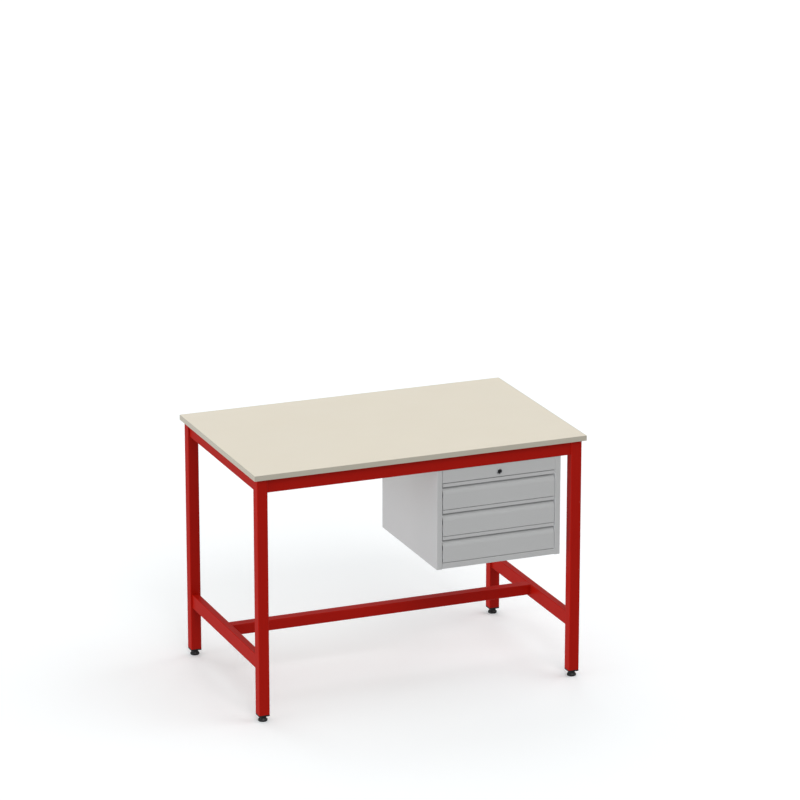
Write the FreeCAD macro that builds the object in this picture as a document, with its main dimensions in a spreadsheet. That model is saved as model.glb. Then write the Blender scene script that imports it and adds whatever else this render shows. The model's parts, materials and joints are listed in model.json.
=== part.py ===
"""Workbench with a hung cabinet of three drawers, in millimetres.

The origin is on the floor, under the centre of the worktop. X runs along the bench to the
right, Y runs to the back and Z runs up. The drawers open towards -Y.
Every size below is one cell of the spreadsheet "Sizes", and each sub-part is bound to it.
"""
import FreeCAD
import Part
import Sketcher
import math
import os

doc = FreeCAD.newDocument("Workbench")

# ---------------------------------------------------------------------------------------
# Driving sizes
# ---------------------------------------------------------------------------------------
DRIVING_SIZES = [
    ("worktop_length", 1200, "worktop, left to right"),
    ("worktop_depth", 750, "worktop, front to back"),
    ("worktop_thickness", 18, "worktop with both laminates"),
    ("laminate", 0.8, "laminate above and backing below the core"),
    ("edging", 2, "edge strip round the core"),
    ("worktop_overhang", 12.5, "worktop past the frame, on all sides"),
    ("leg_side", 38, "leg tube, outside"),
    ("leg_wall", 2, "leg tube, wall"),
    ("leg_corner", 3, "leg tube, outer corner radius"),
    ("leg_length", 830, "leg tube, cut length"),
    ("rail_height", 50, "top and end rails, tall side"),
    ("rail_width", 25, "top and end rails, narrow side"),
    ("rail_wall", 1.5, "rails, wall"),
    ("rail_corner", 2.5, "rails, outer corner radius"),
    ("end_rail_lift", 178, "floor to the underside of the low end rails"),
    ("stretcher_side", 38, "long stretcher between the end rails, outside"),
    ("insert_flange", 5, "foot insert, flange below the leg"),
    ("insert_plug", 28, "foot insert, plug inside the leg"),
    ("insert_fit", 0.1, "foot insert, gap to the leg's inner wall"),
    ("foot_height", 20, "floor to the insert, with the foot screwed right in"),
    ("foot_gap", 0.3, "foot's neck to the insert"),
    ("foot_radius", 16, "foot base"),
    ("foot_edge", 3, "foot base, round lower edge"),
    ("foot_rim", 6, "floor to the top of the foot's rim"),
    ("foot_flare", 12, "floor to the bottom of the foot's neck"),
    ("foot_neck_radius", 11.5, "foot neck"),
    ("stud_radius", 5, "foot stud"),
    ("stud_seat", 5, "floor to the stud's lower end"),
    ("stud_length", 48, "foot stud"),
    ("running_fit", 0.05, "radial gap of a shaft that turns or screws"),
    ("tab_width", 40, "worktop tab, along its rail"),
    ("tab_leg", 25, "worktop tab, each leg"),
    ("tab_plate", 3, "worktop tab, plate"),
    ("tab_spacing", 350, "worktop tabs, centre to centre on a long rail"),
    ("screw_radius", 2.25, "worktop screw, shank"),
    ("screw_length", 15, "worktop screw, shank"),
    ("screw_head_radius", 4.5, "worktop screw, head"),
    ("screw_head", 2.5, "worktop screw, head height"),
    ("screw_gap", 0.5, "worktop screw to its hole in the tab"),
    ("cabinet_width", 455, "drawer cabinet, left to right"),
    ("cabinet_depth", 492, "drawer cabinet, front to back"),
    ("cabinet_height", 350, "drawer cabinet, top to bottom"),
    ("cabinet_leg_gap", 37, "cabinet to the right-hand legs"),
    ("sheet", 1, "folded steel sheet"),
    ("stile", 20, "front stile of a cabinet side"),
    ("stile_return", 40, "stile's fold into the cabinet"),
    ("seam", 0.4, "gap between a stile and a front cross piece"),
    ("pan_lift", 1, "bottom pan above the lower ends of the stiles"),
    ("fold", 12, "stiffening folds"),
    ("fascia_height", 45.4, "front panel above the drawers"),
    ("bottom_rail_height", 21, "stiles' lower ends to the top of the rail below the drawers"),
    ("drawer_gap", 2.2, "gap between fronts, up and down"),
    ("drawer_side_gap", 2, "gap between a front and a stile"),
    ("lip_height", 11.5, "pull lip, top to bottom"),
    ("lip_thickness", 2, "pull lip, folded double"),
    ("grip_depth", 17.6, "finger groove, front to back"),
    ("grip_radius", 33, "round face below the finger groove"),
    ("tray_room", 22.4, "drawer tray to the cabinet's back panel"),
    ("tray_drop", 6.6, "tray's top below the top of its front"),
    ("tray_rim", 6, "fold along the tray's long edges"),
    ("runner_plate", 1.2, "runner and drawer rail, plate"),
    ("runner_width", 12, "runner, across"),
    ("runner_height", 36, "runner, top to bottom"),
    ("runner_setback", 25, "cabinet front to the runner"),
    ("runner_back_gap", 11, "runner's end to the cabinet's back panel"),
    ("runner_room", 1.8, "runner to the drawer tray"),
    ("rail_c_height", 20, "drawer rail, top to bottom"),
    ("glide_back_gap", 3.2, "rear glide to the tray's back"),
    ("glide_length", 30, "nylon glides, front to back"),
    ("glide_gap", 0.4, "nylon glide to the steel that slides on it"),
    ("post_depth", 40, "rear runner post, front to back"),
    ("hanger_spread", 300, "hanging channels, centre to centre"),
    ("hanger_width", 40, "hanging channel, across"),
    ("hanger_height", 25, "hanging channel, top to bottom"),
    ("hanger_plate", 2, "hanging channel, plate"),
    ("bolt_radius", 3, "hanging bolt, shank"),
    ("bolt_gap", 0.3, "hanging bolt to its holes"),
    ("bolt_head_radius", 5.5, "hanging bolt, head"),
    ("bolt_head", 3.3, "hanging bolt, head height"),
    ("bolt_length", 16, "hanging bolt, shank"),
    ("bolt_inset", 60, "hanging bolts from the cabinet's front and back"),
    ("nut_corner", 5.8, "hanging nut, centre to corner"),
    ("nut_height", 5, "hanging nut"),
    ("lock_drop", 26, "cabinet top to the lock's centre"),
    ("lock_flange_radius", 10, "lock housing, flange"),
    ("lock_flange", 4, "lock housing, flange in front of the fascia"),
    ("lock_barrel_radius", 9, "lock housing, barrel"),
    ("lock_barrel", 22, "lock housing, barrel behind the fascia's face"),
    ("lock_plug_radius", 7, "lock plug"),
    ("lock_recess", 0.6, "lock plug behind the flange's face"),
    ("key_slot_width", 1.8, "keyhole, across"),
    ("key_slot_height", 8, "keyhole, top to bottom"),
    ("key_slot_depth", 12, "keyhole, front to back"),
    ("lock_nut_corner", 13, "lock nut, centre to corner"),
    ("lock_nut", 4, "lock nut"),
    ("rod_radius", 4, "lock rod"),
    ("crank_radius", 9, "crank disc on the lock rod"),
    ("crank_disc", 3, "crank disc"),
    ("crank_throw", 5.66, "crank pin from the rod's centre"),
    ("crank_pin_radius", 2, "crank pin"),
    ("yoke_gap", 0.35, "crank pin to its slot, above and below"),
    ("bar_width", 16, "lock bar, left to right"),
    ("bar_plate", 3, "lock bar, plate"),
    ("bar_clear", 3.5, "tray's back to the lock bar"),
    ("bar_head_width", 30, "lock bar's head, left to right"),
    ("bar_head_height", 28, "lock bar's head, top to bottom"),
    ("hook_reach", 14, "hook, out from the lock bar's side"),
    ("hook_height", 12, "hook, top to bottom"),
    ("hook_below", 1, "unlocked hook below the catch"),
    ("catch_side", 2, "catch to the lock bar's side"),
    ("catch_width", 16, "catch on the tray's back, left to right"),
    ("catch_gap", 1.5, "hook to the catch's lip behind it"),
    ("catch_plate", 1.5, "catch, plate"),
    ("catch_drop", 8, "catch, downturned lip"),
    ("catch_lift", 50, "drawer front's lower edge to the catch"),
    ("guide_gap", 0.35, "lock bar to its guides"),
    ("guide_wall", 1.2, "guide's wall in front of the bar"),
    ("guide_width", 30, "lock bar guide, left to right"),
    ("guide_height", 12, "lock bar guide, top to bottom"),
    ("guide_lift", 62, "drawer front's lower edge to the guide beside it"),
    ("bearing_width", 20, "rod bearing, left to right"),
    ("bearing_depth", 8, "rod bearing, front to back"),
    ("bearing_inset", 12, "rod bearing to the tray's back"),
]

sheet = doc.addObject("Spreadsheet::Sheet", "Sizes")
for row, (alias, value, note) in enumerate(DRIVING_SIZES, start=1):
    sheet.set(f"A{row}", note)
    sheet.set(f"B{row}", str(value))
    sheet.setAlias(f"B{row}", alias)
doc.recompute()


class Size:
    """A length that knows its number and the spreadsheet expression that gives it."""

    def __init__(self, value, text):
        self.value = value
        self.text = text

    def __add__(self, other):
        other = as_size(other)
        return Size(self.value + other.value, f"({self.text} + {other.text})")

    def __sub__(self, other):
        other = as_size(other)
        return Size(self.value - other.value, f"({self.text} - {other.text})")

    def __mul__(self, other):
        other = as_size(other)
        return Size(self.value * other.value, f"({self.text} * {other.text})")

    def __truediv__(self, other):
        other = as_size(other)
        return Size(self.value / other.value, f"({self.text} / {other.text})")

    def __neg__(self):
        return Size(-self.value, f"(-1 * {self.text})")

    __radd__ = __add__
    __rmul__ = __mul__


def as_size(value):
    """Wrap a plain number, so that it can be mixed with sizes."""
    return value if isinstance(value, Size) else Size(float(value), repr(float(value)))


def root(size):
    """The square root of a size times a size."""
    return Size(math.sqrt(size.value), f"sqrt({size.text})")


class Driving:
    """The spreadsheet's cells as attributes, such as dim.leg_side."""


dim = Driving()
for alias, value, note in DRIVING_SIZES:
    setattr(dim, alias, Size(float(value), f"Sizes.{alias}"))

# ---------------------------------------------------------------------------------------
# Builders
# ---------------------------------------------------------------------------------------
SUBPARTS = []          # the finished sub-parts, in the order in which they are made


def bind(obj, path, size):
    """Tie one property of an object to the spreadsheet."""
    obj.setExpression(path, as_size(size).text)


def place(obj, at):
    """Tie the place of an object to the spreadsheet."""
    for axis, size in zip("xyz", at):
        bind(obj, f"Placement.Base.{axis}", size)


def finish(obj, label):
    """Name a finished sub-part. Its label is its node's name."""
    obj.Label = label
    SUBPARTS.append(obj)
    return obj


def block(name, x, y, z):
    """A box between two places on each axis."""
    obj = doc.addObject("Part::Box", name)
    for prop, (low, high) in zip(("Length", "Width", "Height"), (x, y, z)):
        bind(obj, prop, high - low)
    place(obj, (x[0], y[0], z[0]))
    return obj


def rod(name, radius, start, end, centre, axis="z"):
    """A cylinder along Z or Y, between two places on that axis."""
    obj = doc.addObject("Part::Cylinder", name)
    bind(obj, "Radius", radius)
    bind(obj, "Height", end - start)
    if axis == "y":
        obj.Placement.Rotation = FreeCAD.Rotation(FreeCAD.Vector(1, 0, 0), -90)
        place(obj, (centre[0], start, centre[1]))
    else:
        place(obj, (centre[0], centre[1], start))
    return obj


def hexagon(name, corner, start, end, centre, axis="z"):
    """A hexagonal prism along Z or Y, as a nut is."""
    obj = doc.addObject("Part::Prism", name)
    obj.Polygon = 6
    bind(obj, "Circumradius", corner)
    bind(obj, "Height", end - start)
    if axis == "y":
        obj.Placement.Rotation = FreeCAD.Rotation(FreeCAD.Vector(1, 0, 0), -90)
        place(obj, (centre[0], start, centre[1]))
    else:
        place(obj, (centre[0], centre[1], start))
    return obj


def joined(name, pieces):
    """One solid from pieces that touch."""
    obj = doc.addObject("Part::MultiFuse", name)
    obj.Shapes = pieces
    obj.Refine = True
    return obj


def drilled(name, base, tools):
    """A base with tools taken out of it."""
    tool = tools[0]
    if len(tools) > 1:
        tool = group(f"{name}_tools", tools)
    obj = doc.addObject("Part::Cut", name)
    obj.Base = base
    obj.Tool = tool
    return obj


def group(name, pieces):
    """Separate solids that share one node."""
    obj = doc.addObject("Part::Compound", name)
    obj.Links = pieces
    return obj


def body_plane(body, role):
    """One of a body's own origin planes."""
    for feature in body.Origin.OriginFeatures:
        if feature.Role == role:
            return feature
    raise ValueError(f"{body.Label} has no {role}")


def new_sketch(body, name, role):
    """An empty sketch on one of the body's origin planes."""
    sketch = body.newObject("Sketcher::SketchObject", name)
    sketch.AttachmentSupport = (body_plane(body, role), [""])
    sketch.MapMode = "FlatFace"
    return sketch


def constrain(sketch, kind, *where, size=None):
    """Add a constraint, tied to the spreadsheet if it has a size."""
    if size is None:
        sketch.addConstraint(Sketcher.Constraint(kind, *where))
        return
    size = as_size(size)
    index = sketch.addConstraint(Sketcher.Constraint(kind, *where, size.value))
    sketch.setExpression(f"Constraints[{index}]", size.text)


def draw_round_rectangle(sketch, width, height, radius):
    """A rectangle with round corners, centred on the sketch's origin."""
    half_w, half_h, r = width.value / 2, height.value / 2, radius.value
    up = FreeCAD.Vector(0, 0, 1)
    corners = [(1, -1, -90), (1, 1, 0), (-1, 1, 90), (-1, -1, 180)]
    arcs = []
    for sign_x, sign_y, start in corners:
        centre = FreeCAD.Vector(sign_x * (half_w - r), sign_y * (half_h - r), 0)
        arc = Part.ArcOfCircle(Part.Circle(centre, up, r), math.radians(start), math.radians(start + 90))
        arcs.append(sketch.addGeometry(arc, False))
    for index, arc in enumerate(arcs):
        following = arcs[(index + 1) % len(arcs)]
        start = sketch.Geometry[arc].EndPoint
        end = sketch.Geometry[following].StartPoint
        line = sketch.addGeometry(Part.LineSegment(start, end), False)
        constrain(sketch, "Tangent", arc, 2, line, 1)
        constrain(sketch, "Tangent", line, 2, following, 1)
        constrain(sketch, "Vertical" if index % 2 == 0 else "Horizontal", line)
    for arc in arcs[1:]:
        constrain(sketch, "Equal", arcs[0], arc)
    constrain(sketch, "Symmetric", arcs[0], 3, arcs[2], 3, -1, 1)
    constrain(sketch, "Radius", arcs[0], size=radius)
    constrain(sketch, "DistanceX", arcs[3], 3, arcs[0], 3, size=width - radius * 2)
    constrain(sketch, "DistanceY", arcs[0], 3, arcs[1], 3, size=height - radius * 2)


def draw_circle(sketch, radius):
    """A circle round the sketch's origin."""
    circle = Part.Circle(FreeCAD.Vector(0, 0, 0), FreeCAD.Vector(0, 0, 1), radius.value)
    index = sketch.addGeometry(circle, False)
    constrain(sketch, "Coincident", index, 3, -1, 1)
    constrain(sketch, "Radius", index, size=radius)


def draw_outline(sketch, points):
    """A closed outline. Each point is (x, y), or (x, y, radius, turn) where an arc leads on
    to the next point: turn is 1 for an arc that curves to the left and -1 to the right."""
    places = [FreeCAD.Vector(as_size(p[0]).value, as_size(p[1]).value, 0) for p in points]
    edges = []
    for index, point in enumerate(points):
        start, end = places[index], places[(index + 1) % len(points)]
        if len(point) == 2:
            edges.append((sketch.addGeometry(Part.LineSegment(start, end), False), 1, 2))
            continue
        radius, turn = point[2], point[3]
        middle = (start + end) / 2
        along = end - start
        rise = math.sqrt(max(radius.value ** 2 - (along.Length / 2) ** 2, 0))
        left = FreeCAD.Vector(-along.y, along.x, 0).normalize()
        centre = middle + left * (turn * rise)
        circle = Part.Circle(centre, FreeCAD.Vector(0, 0, 1), radius.value)
        first, last = (start, end) if turn > 0 else (end, start)
        arc = Part.ArcOfCircle(circle, circle.parameter(first), circle.parameter(last))
        number = sketch.addGeometry(arc, False)
        edges.append((number, 1, 2) if turn > 0 else (number, 2, 1))
        constrain(sketch, "Radius", number, size=radius)
    for index, (edge, first, last) in enumerate(edges):
        following = edges[(index + 1) % len(edges)]
        constrain(sketch, "Coincident", edge, last, following[0], following[1])
        constrain(sketch, "DistanceX", -1, 1, edge, first, size=points[index][0])
        constrain(sketch, "DistanceY", -1, 1, edge, first, size=points[index][1])


def pad(body, sketch, name, length):
    """Pad a sketch along its normal."""
    feature = body.newObject("PartDesign::Pad", name)
    feature.Profile = sketch
    bind(feature, "Length", length)
    return feature


def round_tube(name, role, width, height, wall, corner, length, at):
    """A tube with round corners, padded from one of the body's planes."""
    body = doc.addObject("PartDesign::Body", name)
    sketch = new_sketch(body, f"{name}_section", role)
    draw_round_rectangle(sketch, width, height, corner)
    draw_round_rectangle(sketch, width - wall * 2, height - wall * 2, corner - wall)
    pad(body, sketch, f"{name}_pad", length)
    place(body, at)
    return body


# ---------------------------------------------------------------------------------------
# Places that many pieces share
# ---------------------------------------------------------------------------------------
half = 0.5
frame_x = dim.worktop_length * half - dim.worktop_overhang      # outer faces of the legs
frame_y = dim.worktop_depth * half - dim.worktop_overhang
leg_x = frame_x - dim.leg_side * half                           # centres of the legs
leg_y = frame_y - dim.leg_side * half
leg_bottom = dim.foot_height + dim.insert_flange
leg_top = leg_bottom + dim.leg_length
rail_bottom = leg_top - dim.rail_height
rail_inner_x = leg_x - dim.rail_width * half                    # inner faces of the rails
rail_inner_y = leg_y - dim.rail_width * half
end_rail_top = dim.end_rail_lift + dim.rail_height

cabinet_right = frame_x - dim.leg_side - dim.cabinet_leg_gap
cabinet_left = cabinet_right - dim.cabinet_width
cabinet_middle = (cabinet_left + cabinet_right) * half
cabinet_front = -(leg_y + dim.rail_width * half)                # flush with the front rail
cabinet_back = cabinet_front + dim.cabinet_depth
cabinet_top = rail_bottom
cabinet_bottom = cabinet_top - dim.cabinet_height
panel_back = cabinet_back - dim.sheet                           # inner face of the back
pan_bottom = cabinet_bottom + dim.pan_lift
pan_top = pan_bottom + dim.sheet

LEVELS = ["top", "middle", "bottom"]
first_front_top = cabinet_top - dim.fascia_height - dim.drawer_gap
bottom_rail_top = cabinet_bottom + dim.bottom_rail_height
drawer_pitch = (first_front_top - bottom_rail_top) / len(LEVELS)  # from one drawer to the next
front_height = drawer_pitch - dim.drawer_gap
tray_front = cabinet_front + dim.grip_depth + dim.sheet
tray_back = panel_back - dim.tray_room
tray_height = front_height - dim.sheet - dim.tray_drop
tray_side = dim.stile + dim.runner_width + dim.runner_room      # in from the cabinet's side
lock_height = cabinet_top - dim.lock_drop

SIDES = [("left", -1), ("right", 1)]
CORNERS = [(depth, side, sign_x, sign_y)
           for depth, sign_y in (("front", -1), ("back", 1))
           for side, sign_x in SIDES]


def front_bottom(level):
    """Lower edge of a drawer front, counted from the top drawer."""
    return first_front_top - front_height - drawer_pitch * LEVELS.index(level)


def inward(sign, near, far):
    """A stretch along X, measured into the cabinet from its left or right side."""
    if sign < 0:
        return (cabinet_left + near, cabinet_left + far)
    return (cabinet_right - far, cabinet_right - near)


# ---------------------------------------------------------------------------------------
# Frame: legs, top rails, low end rails and the stretcher
# ---------------------------------------------------------------------------------------
def make_frame():
    for depth, side, sign_x, sign_y in CORNERS:
        name = f"leg_{depth}_{side}"
        leg = round_tube(name, "XY_Plane", dim.leg_side, dim.leg_side, dim.leg_wall, dim.leg_corner,
                         dim.leg_length, (leg_x * sign_x, leg_y * sign_y, leg_bottom))
        finish(leg, name)

    long_rail = (leg_x * 2) - dim.leg_side
    short_rail = (leg_y * 2) - dim.leg_side
    top_centre = rail_bottom + dim.rail_height * half
    for depth, sign_y in (("front", -1), ("back", 1)):
        name = f"top_rail_{depth}"
        rail = round_tube(name, "YZ_Plane", dim.rail_width, dim.rail_height, dim.rail_wall,
                          dim.rail_corner, long_rail, (-long_rail * half, leg_y * sign_y, top_centre))
        finish(rail, name)
    low_centre = dim.end_rail_lift + dim.rail_height * half
    for kind, height in (("top_rail", top_centre), ("end_rail", low_centre)):
        for side, sign_x in SIDES:
            name = f"{kind}_{side}"
            rail = round_tube(name, "XZ_Plane", dim.rail_width, dim.rail_height, dim.rail_wall,
                              dim.rail_corner, short_rail, (leg_x * sign_x, short_rail * half, height))
            finish(rail, name)

    length = rail_inner_x * 2
    side = dim.stretcher_side
    stretcher = round_tube("stretcher", "YZ_Plane", side, side, dim.leg_wall, dim.leg_corner, length,
                           (-length * half, as_size(0), end_rail_top - side * half))
    finish(stretcher, "stretcher")


# ---------------------------------------------------------------------------------------
# Feet: an insert pressed into each leg, and a screw foot of stud and base
# ---------------------------------------------------------------------------------------
def make_foot_inserts():
    inserts = []
    for depth, side, sign_x, sign_y in CORNERS:
        name = f"insert_{depth}_{side}"
        body = doc.addObject("PartDesign::Body", name)
        hole = dim.stud_radius + dim.running_fit
        flange = new_sketch(body, f"{name}_flange", "XY_Plane")
        draw_round_rectangle(flange, dim.leg_side, dim.leg_side, dim.leg_corner)
        draw_circle(flange, hole)
        pad(body, flange, f"{name}_flange_pad", dim.insert_flange)
        plug = new_sketch(body, f"{name}_plug", "XY_Plane")
        plug_side = dim.leg_side - dim.leg_wall * 2 - dim.insert_fit * 2
        draw_round_rectangle(plug, plug_side, plug_side, dim.leg_corner - dim.leg_wall)
        draw_circle(plug, hole)
        pad(body, plug, f"{name}_plug_pad", dim.insert_flange + dim.insert_plug)
        place(body, (leg_x * sign_x, leg_y * sign_y, dim.foot_height))
        inserts.append(body)
    finish(group("foot_inserts", inserts), "foot_inserts")


def make_feet():
    for depth, side, sign_x, sign_y in CORNERS:
        name = f"foot_base_{depth}_{side}"
        body = doc.addObject("PartDesign::Body", name)
        profile = new_sketch(body, f"{name}_profile", "XZ_Plane")
        zero = as_size(0)
        top = dim.foot_height - dim.foot_gap
        draw_outline(profile, [
            (zero, zero),
            (dim.foot_radius - dim.foot_edge, zero, dim.foot_edge, 1),
            (dim.foot_radius, dim.foot_edge),
            (dim.foot_radius, dim.foot_rim),
            (dim.foot_neck_radius, dim.foot_flare),
            (dim.foot_neck_radius, top),
            (dim.stud_radius, top),
            (dim.stud_radius, dim.stud_seat),
            (zero, dim.stud_seat),
        ])
        turned = body.newObject("PartDesign::Revolution", f"{name}_turned")
        turned.Profile = profile
        turned.ReferenceAxis = (profile, ["V_Axis"])
        turned.Angle = 360
        place(body, (leg_x * sign_x, leg_y * sign_y, zero))
        finish(body, name)

        stud = rod(f"foot_stud_{depth}_{side}", dim.stud_radius, dim.stud_seat,
                   dim.stud_seat + dim.stud_length, (leg_x * sign_x, leg_y * sign_y))
        finish(stud, f"foot_stud_{depth}_{side}")


# ---------------------------------------------------------------------------------------
# Worktop: core, laminate, backing and edge strips, held by screws through welded tabs
# ---------------------------------------------------------------------------------------
def tab_places():
    """Each tab as its name, the axis it points along, its side's sign and its place."""
    spots = []
    for depth, sign in (("front", -1), ("back", 1)):
        for index, step in enumerate((-1, 0, 1)):
            spots.append((f"tab_{depth}_{index}", "y", sign, dim.tab_spacing * step))
    for side, sign in SIDES:
        spots.append((f"tab_{side}", "x", sign, as_size(0)))
    return spots


def tab_spans(axis, sign, along, depth, height):
    """The box of a tab's plate: depth in from the rail, height down from the worktop."""
    rail_face = rail_inner_x if axis == "x" else rail_inner_y
    across = (-rail_face, depth - rail_face) if sign < 0 else (rail_face - depth, rail_face)
    along_span = (along - dim.tab_width * half, along + dim.tab_width * half)
    z = (leg_top - height, leg_top)
    return (across, along_span, z) if axis == "x" else (along_span, across, z)


def screw_centre(axis, sign, along):
    """The middle of a tab's flat leg, where its screw goes up."""
    reach = dim.tab_leg * half + dim.tab_plate * half
    rail_face = rail_inner_x if axis == "x" else rail_inner_y
    across = (rail_face - reach) * sign
    return (across, along) if axis == "x" else (along, across)


def make_worktop():
    tabs, screws, shanks = [], [], []
    for name, axis, sign, along in tab_places():
        upright = block(f"{name}_upright", *tab_spans(axis, sign, along, dim.tab_plate, dim.tab_leg))
        flat = block(f"{name}_flat", *tab_spans(axis, sign, along, dim.tab_leg, dim.tab_plate))
        centre = screw_centre(axis, sign, along)
        under = leg_top - dim.tab_plate
        hole = rod(f"{name}_hole", dim.screw_radius + dim.screw_gap, under, leg_top, centre)
        tabs.append(drilled(name, joined(f"{name}_angle", [upright, flat]), [hole]))
        head = rod(f"{name}_head", dim.screw_head_radius, under - dim.screw_head, under, centre)
        shank = rod(f"{name}_shank", dim.screw_radius, under, under + dim.screw_length, centre)
        screws.append(joined(f"{name}_screw", [head, shank]))
        shanks.append(shank)
    finish(group("worktop_tabs", tabs), "worktop_tabs")
    finish(group("worktop_screws", screws), "worktop_screws")

    half_x, half_y = dim.worktop_length * half, dim.worktop_depth * half
    core_x, core_y = half_x - dim.edging, half_y - dim.edging
    core_bottom = leg_top + dim.laminate
    worktop_top = leg_top + dim.worktop_thickness
    core_top = worktop_top - dim.laminate
    core = block("core_board", (-core_x, core_x), (-core_y, core_y), (core_bottom, core_top))
    finish(drilled("worktop_core", core, shanks), "worktop_core")
    backing = block("backing_sheet", (-core_x, core_x), (-core_y, core_y), (leg_top, core_bottom))
    finish(drilled("worktop_backing", backing, shanks), "worktop_backing")
    top = block("worktop_laminate", (-core_x, core_x), (-core_y, core_y), (core_top, worktop_top))
    finish(top, "worktop_laminate")
    z = (leg_top, worktop_top)
    strips = [
        block("edging_front", (-half_x, half_x), (-half_y, -core_y), z),
        block("edging_back", (-half_x, half_x), (core_y, half_y), z),
        block("edging_left", (-half_x, -core_x), (-core_y, core_y), z),
        block("edging_right", (core_x, half_x), (-core_y, core_y), z),
    ]
    finish(group("worktop_edging", strips), "worktop_edging")


# ---------------------------------------------------------------------------------------
# Cabinet: folded sheet shell, rear posts and the channels that it hangs from
# ---------------------------------------------------------------------------------------
def hanging_bolt_centres():
    spread = dim.hanger_spread * half
    return [(cabinet_middle + spread * sign, y)
            for side, sign in SIDES
            for y in (cabinet_front + dim.bolt_inset, cabinet_back - dim.bolt_inset)]


def make_cabinet_sides():
    depth = (cabinet_front, cabinet_back)
    height = (cabinet_bottom, cabinet_top)
    front = (cabinet_front, cabinet_front + dim.sheet)
    for side, sign in SIDES:
        name = f"cabinet_side_{side}"
        web = block(f"{name}_web", inward(sign, as_size(0), dim.sheet), depth, height)
        stile = block(f"{name}_stile", inward(sign, as_size(0), dim.stile), front, height)
        fold = block(f"{name}_return", inward(sign, dim.stile - dim.sheet, dim.stile),
                     (cabinet_front, cabinet_front + dim.stile_return),
                     (pan_top, cabinet_top - dim.sheet))
        finish(joined(name, [web, stile, fold]), name)


def make_cabinet_shell():
    inside_x = (cabinet_left + dim.sheet, cabinet_right - dim.sheet)
    between = (cabinet_left + dim.stile + dim.seam, cabinet_right - dim.stile - dim.seam)
    behind_front = cabinet_front + dim.sheet
    face = (cabinet_front, behind_front)
    lip = (behind_front, cabinet_front + dim.fold)

    pan = block("pan_plate", inside_x, (behind_front, cabinet_back), (pan_bottom, pan_top))
    pan_face = block("pan_face", between, face, (pan_bottom, bottom_rail_top))
    pan_lip = block("pan_lip", between, lip, (bottom_rail_top - dim.sheet, bottom_rail_top))
    finish(joined("cabinet_bottom", [pan, pan_face, pan_lip]), "cabinet_bottom")

    fascia_bottom = cabinet_top - dim.fascia_height
    lock_at = (cabinet_middle, lock_height)
    fascia_face = block("fascia_face", between, face, (fascia_bottom, cabinet_top - dim.sheet))
    fascia_lip = block("fascia_lip", between, lip, (fascia_bottom, fascia_bottom + dim.sheet))
    lock_hole = rod("fascia_hole", dim.lock_barrel_radius + dim.running_fit, cabinet_front,
                    behind_front, lock_at, "y")
    fascia = drilled("cabinet_fascia", joined("fascia_folded", [fascia_face, fascia_lip]), [lock_hole])
    finish(fascia, "cabinet_fascia")

    top_plate = block("top_plate", inside_x, (behind_front, cabinet_back),
                      (cabinet_top - dim.sheet, cabinet_top))
    top_face = block("top_edge", between, face, (cabinet_top - dim.sheet, cabinet_top))
    holes = [rod(f"top_hole_{index}", dim.bolt_radius + dim.bolt_gap, cabinet_top - dim.sheet,
                 cabinet_top, centre) for index, centre in enumerate(hanging_bolt_centres())]
    finish(drilled("cabinet_top", joined("top_folded", [top_plate, top_face]), holes), "cabinet_top")

    back = block("cabinet_back", inside_x, (panel_back, cabinet_back),
                 (pan_top, cabinet_top - dim.sheet))
    finish(back, "cabinet_back")


def make_runner_posts():
    posts = []
    height = (pan_top, cabinet_top - dim.sheet)
    for side, sign in SIDES:
        web = block(f"post_{side}_web", inward(sign, dim.stile - dim.sheet, dim.stile),
                    (panel_back - dim.post_depth, panel_back), height)
        foot = block(f"post_{side}_foot", inward(sign, dim.sheet, dim.stile),
                     (panel_back - dim.sheet, panel_back), height)
        posts.append(joined(f"post_{side}", [web, foot]))
    finish(group("runner_posts", posts), "runner_posts")


def make_hangers():
    top_of_web = cabinet_top + dim.hanger_plate
    centres = hanging_bolt_centres()
    for side, sign in SIDES:
        name = f"hanger_{side}"
        middle = cabinet_middle + dim.hanger_spread * half * sign
        low, high = middle - dim.hanger_width * half, middle + dim.hanger_width * half
        depth = (-rail_inner_y, rail_inner_y)
        tall = (cabinet_top, cabinet_top + dim.hanger_height)
        web = block(f"{name}_web", (low, high), depth, (cabinet_top, top_of_web))
        wall_a = block(f"{name}_wall_a", (low, low + dim.hanger_plate), depth, tall)
        wall_b = block(f"{name}_wall_b", (high - dim.hanger_plate, high), depth, tall)
        holes = [rod(f"{name}_hole_{index}", dim.bolt_radius + dim.bolt_gap, cabinet_top, top_of_web,
                     centre) for index, centre in enumerate(centres[:2] if sign < 0 else centres[2:])]
        finish(drilled(name, joined(f"{name}_channel", [web, wall_a, wall_b]), holes), name)

    fasteners = []
    seat = cabinet_top - dim.sheet
    for index, centre in enumerate(centres):
        head = rod(f"bolt_head_{index}", dim.bolt_head_radius, seat - dim.bolt_head, seat, centre)
        shank = rod(f"bolt_shank_{index}", dim.bolt_radius, seat, seat + dim.bolt_length, centre)
        fasteners.append(joined(f"bolt_{index}", [head, shank]))
        blank = hexagon(f"nut_blank_{index}", dim.nut_corner, top_of_web, top_of_web + dim.nut_height,
                        centre)
        fasteners.append(drilled(f"nut_{index}", blank, [shank]))
    finish(group("hanger_bolts", fasteners), "hanger_bolts")


# ---------------------------------------------------------------------------------------
# Drawers: fixed runners, and for each drawer a front, a tray, rails, glides and a catch
# ---------------------------------------------------------------------------------------
def runner_centre(level):
    """Height of a runner's middle, which is the middle of its tray."""
    return front_bottom(level) + dim.sheet + tray_height * half


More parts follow.
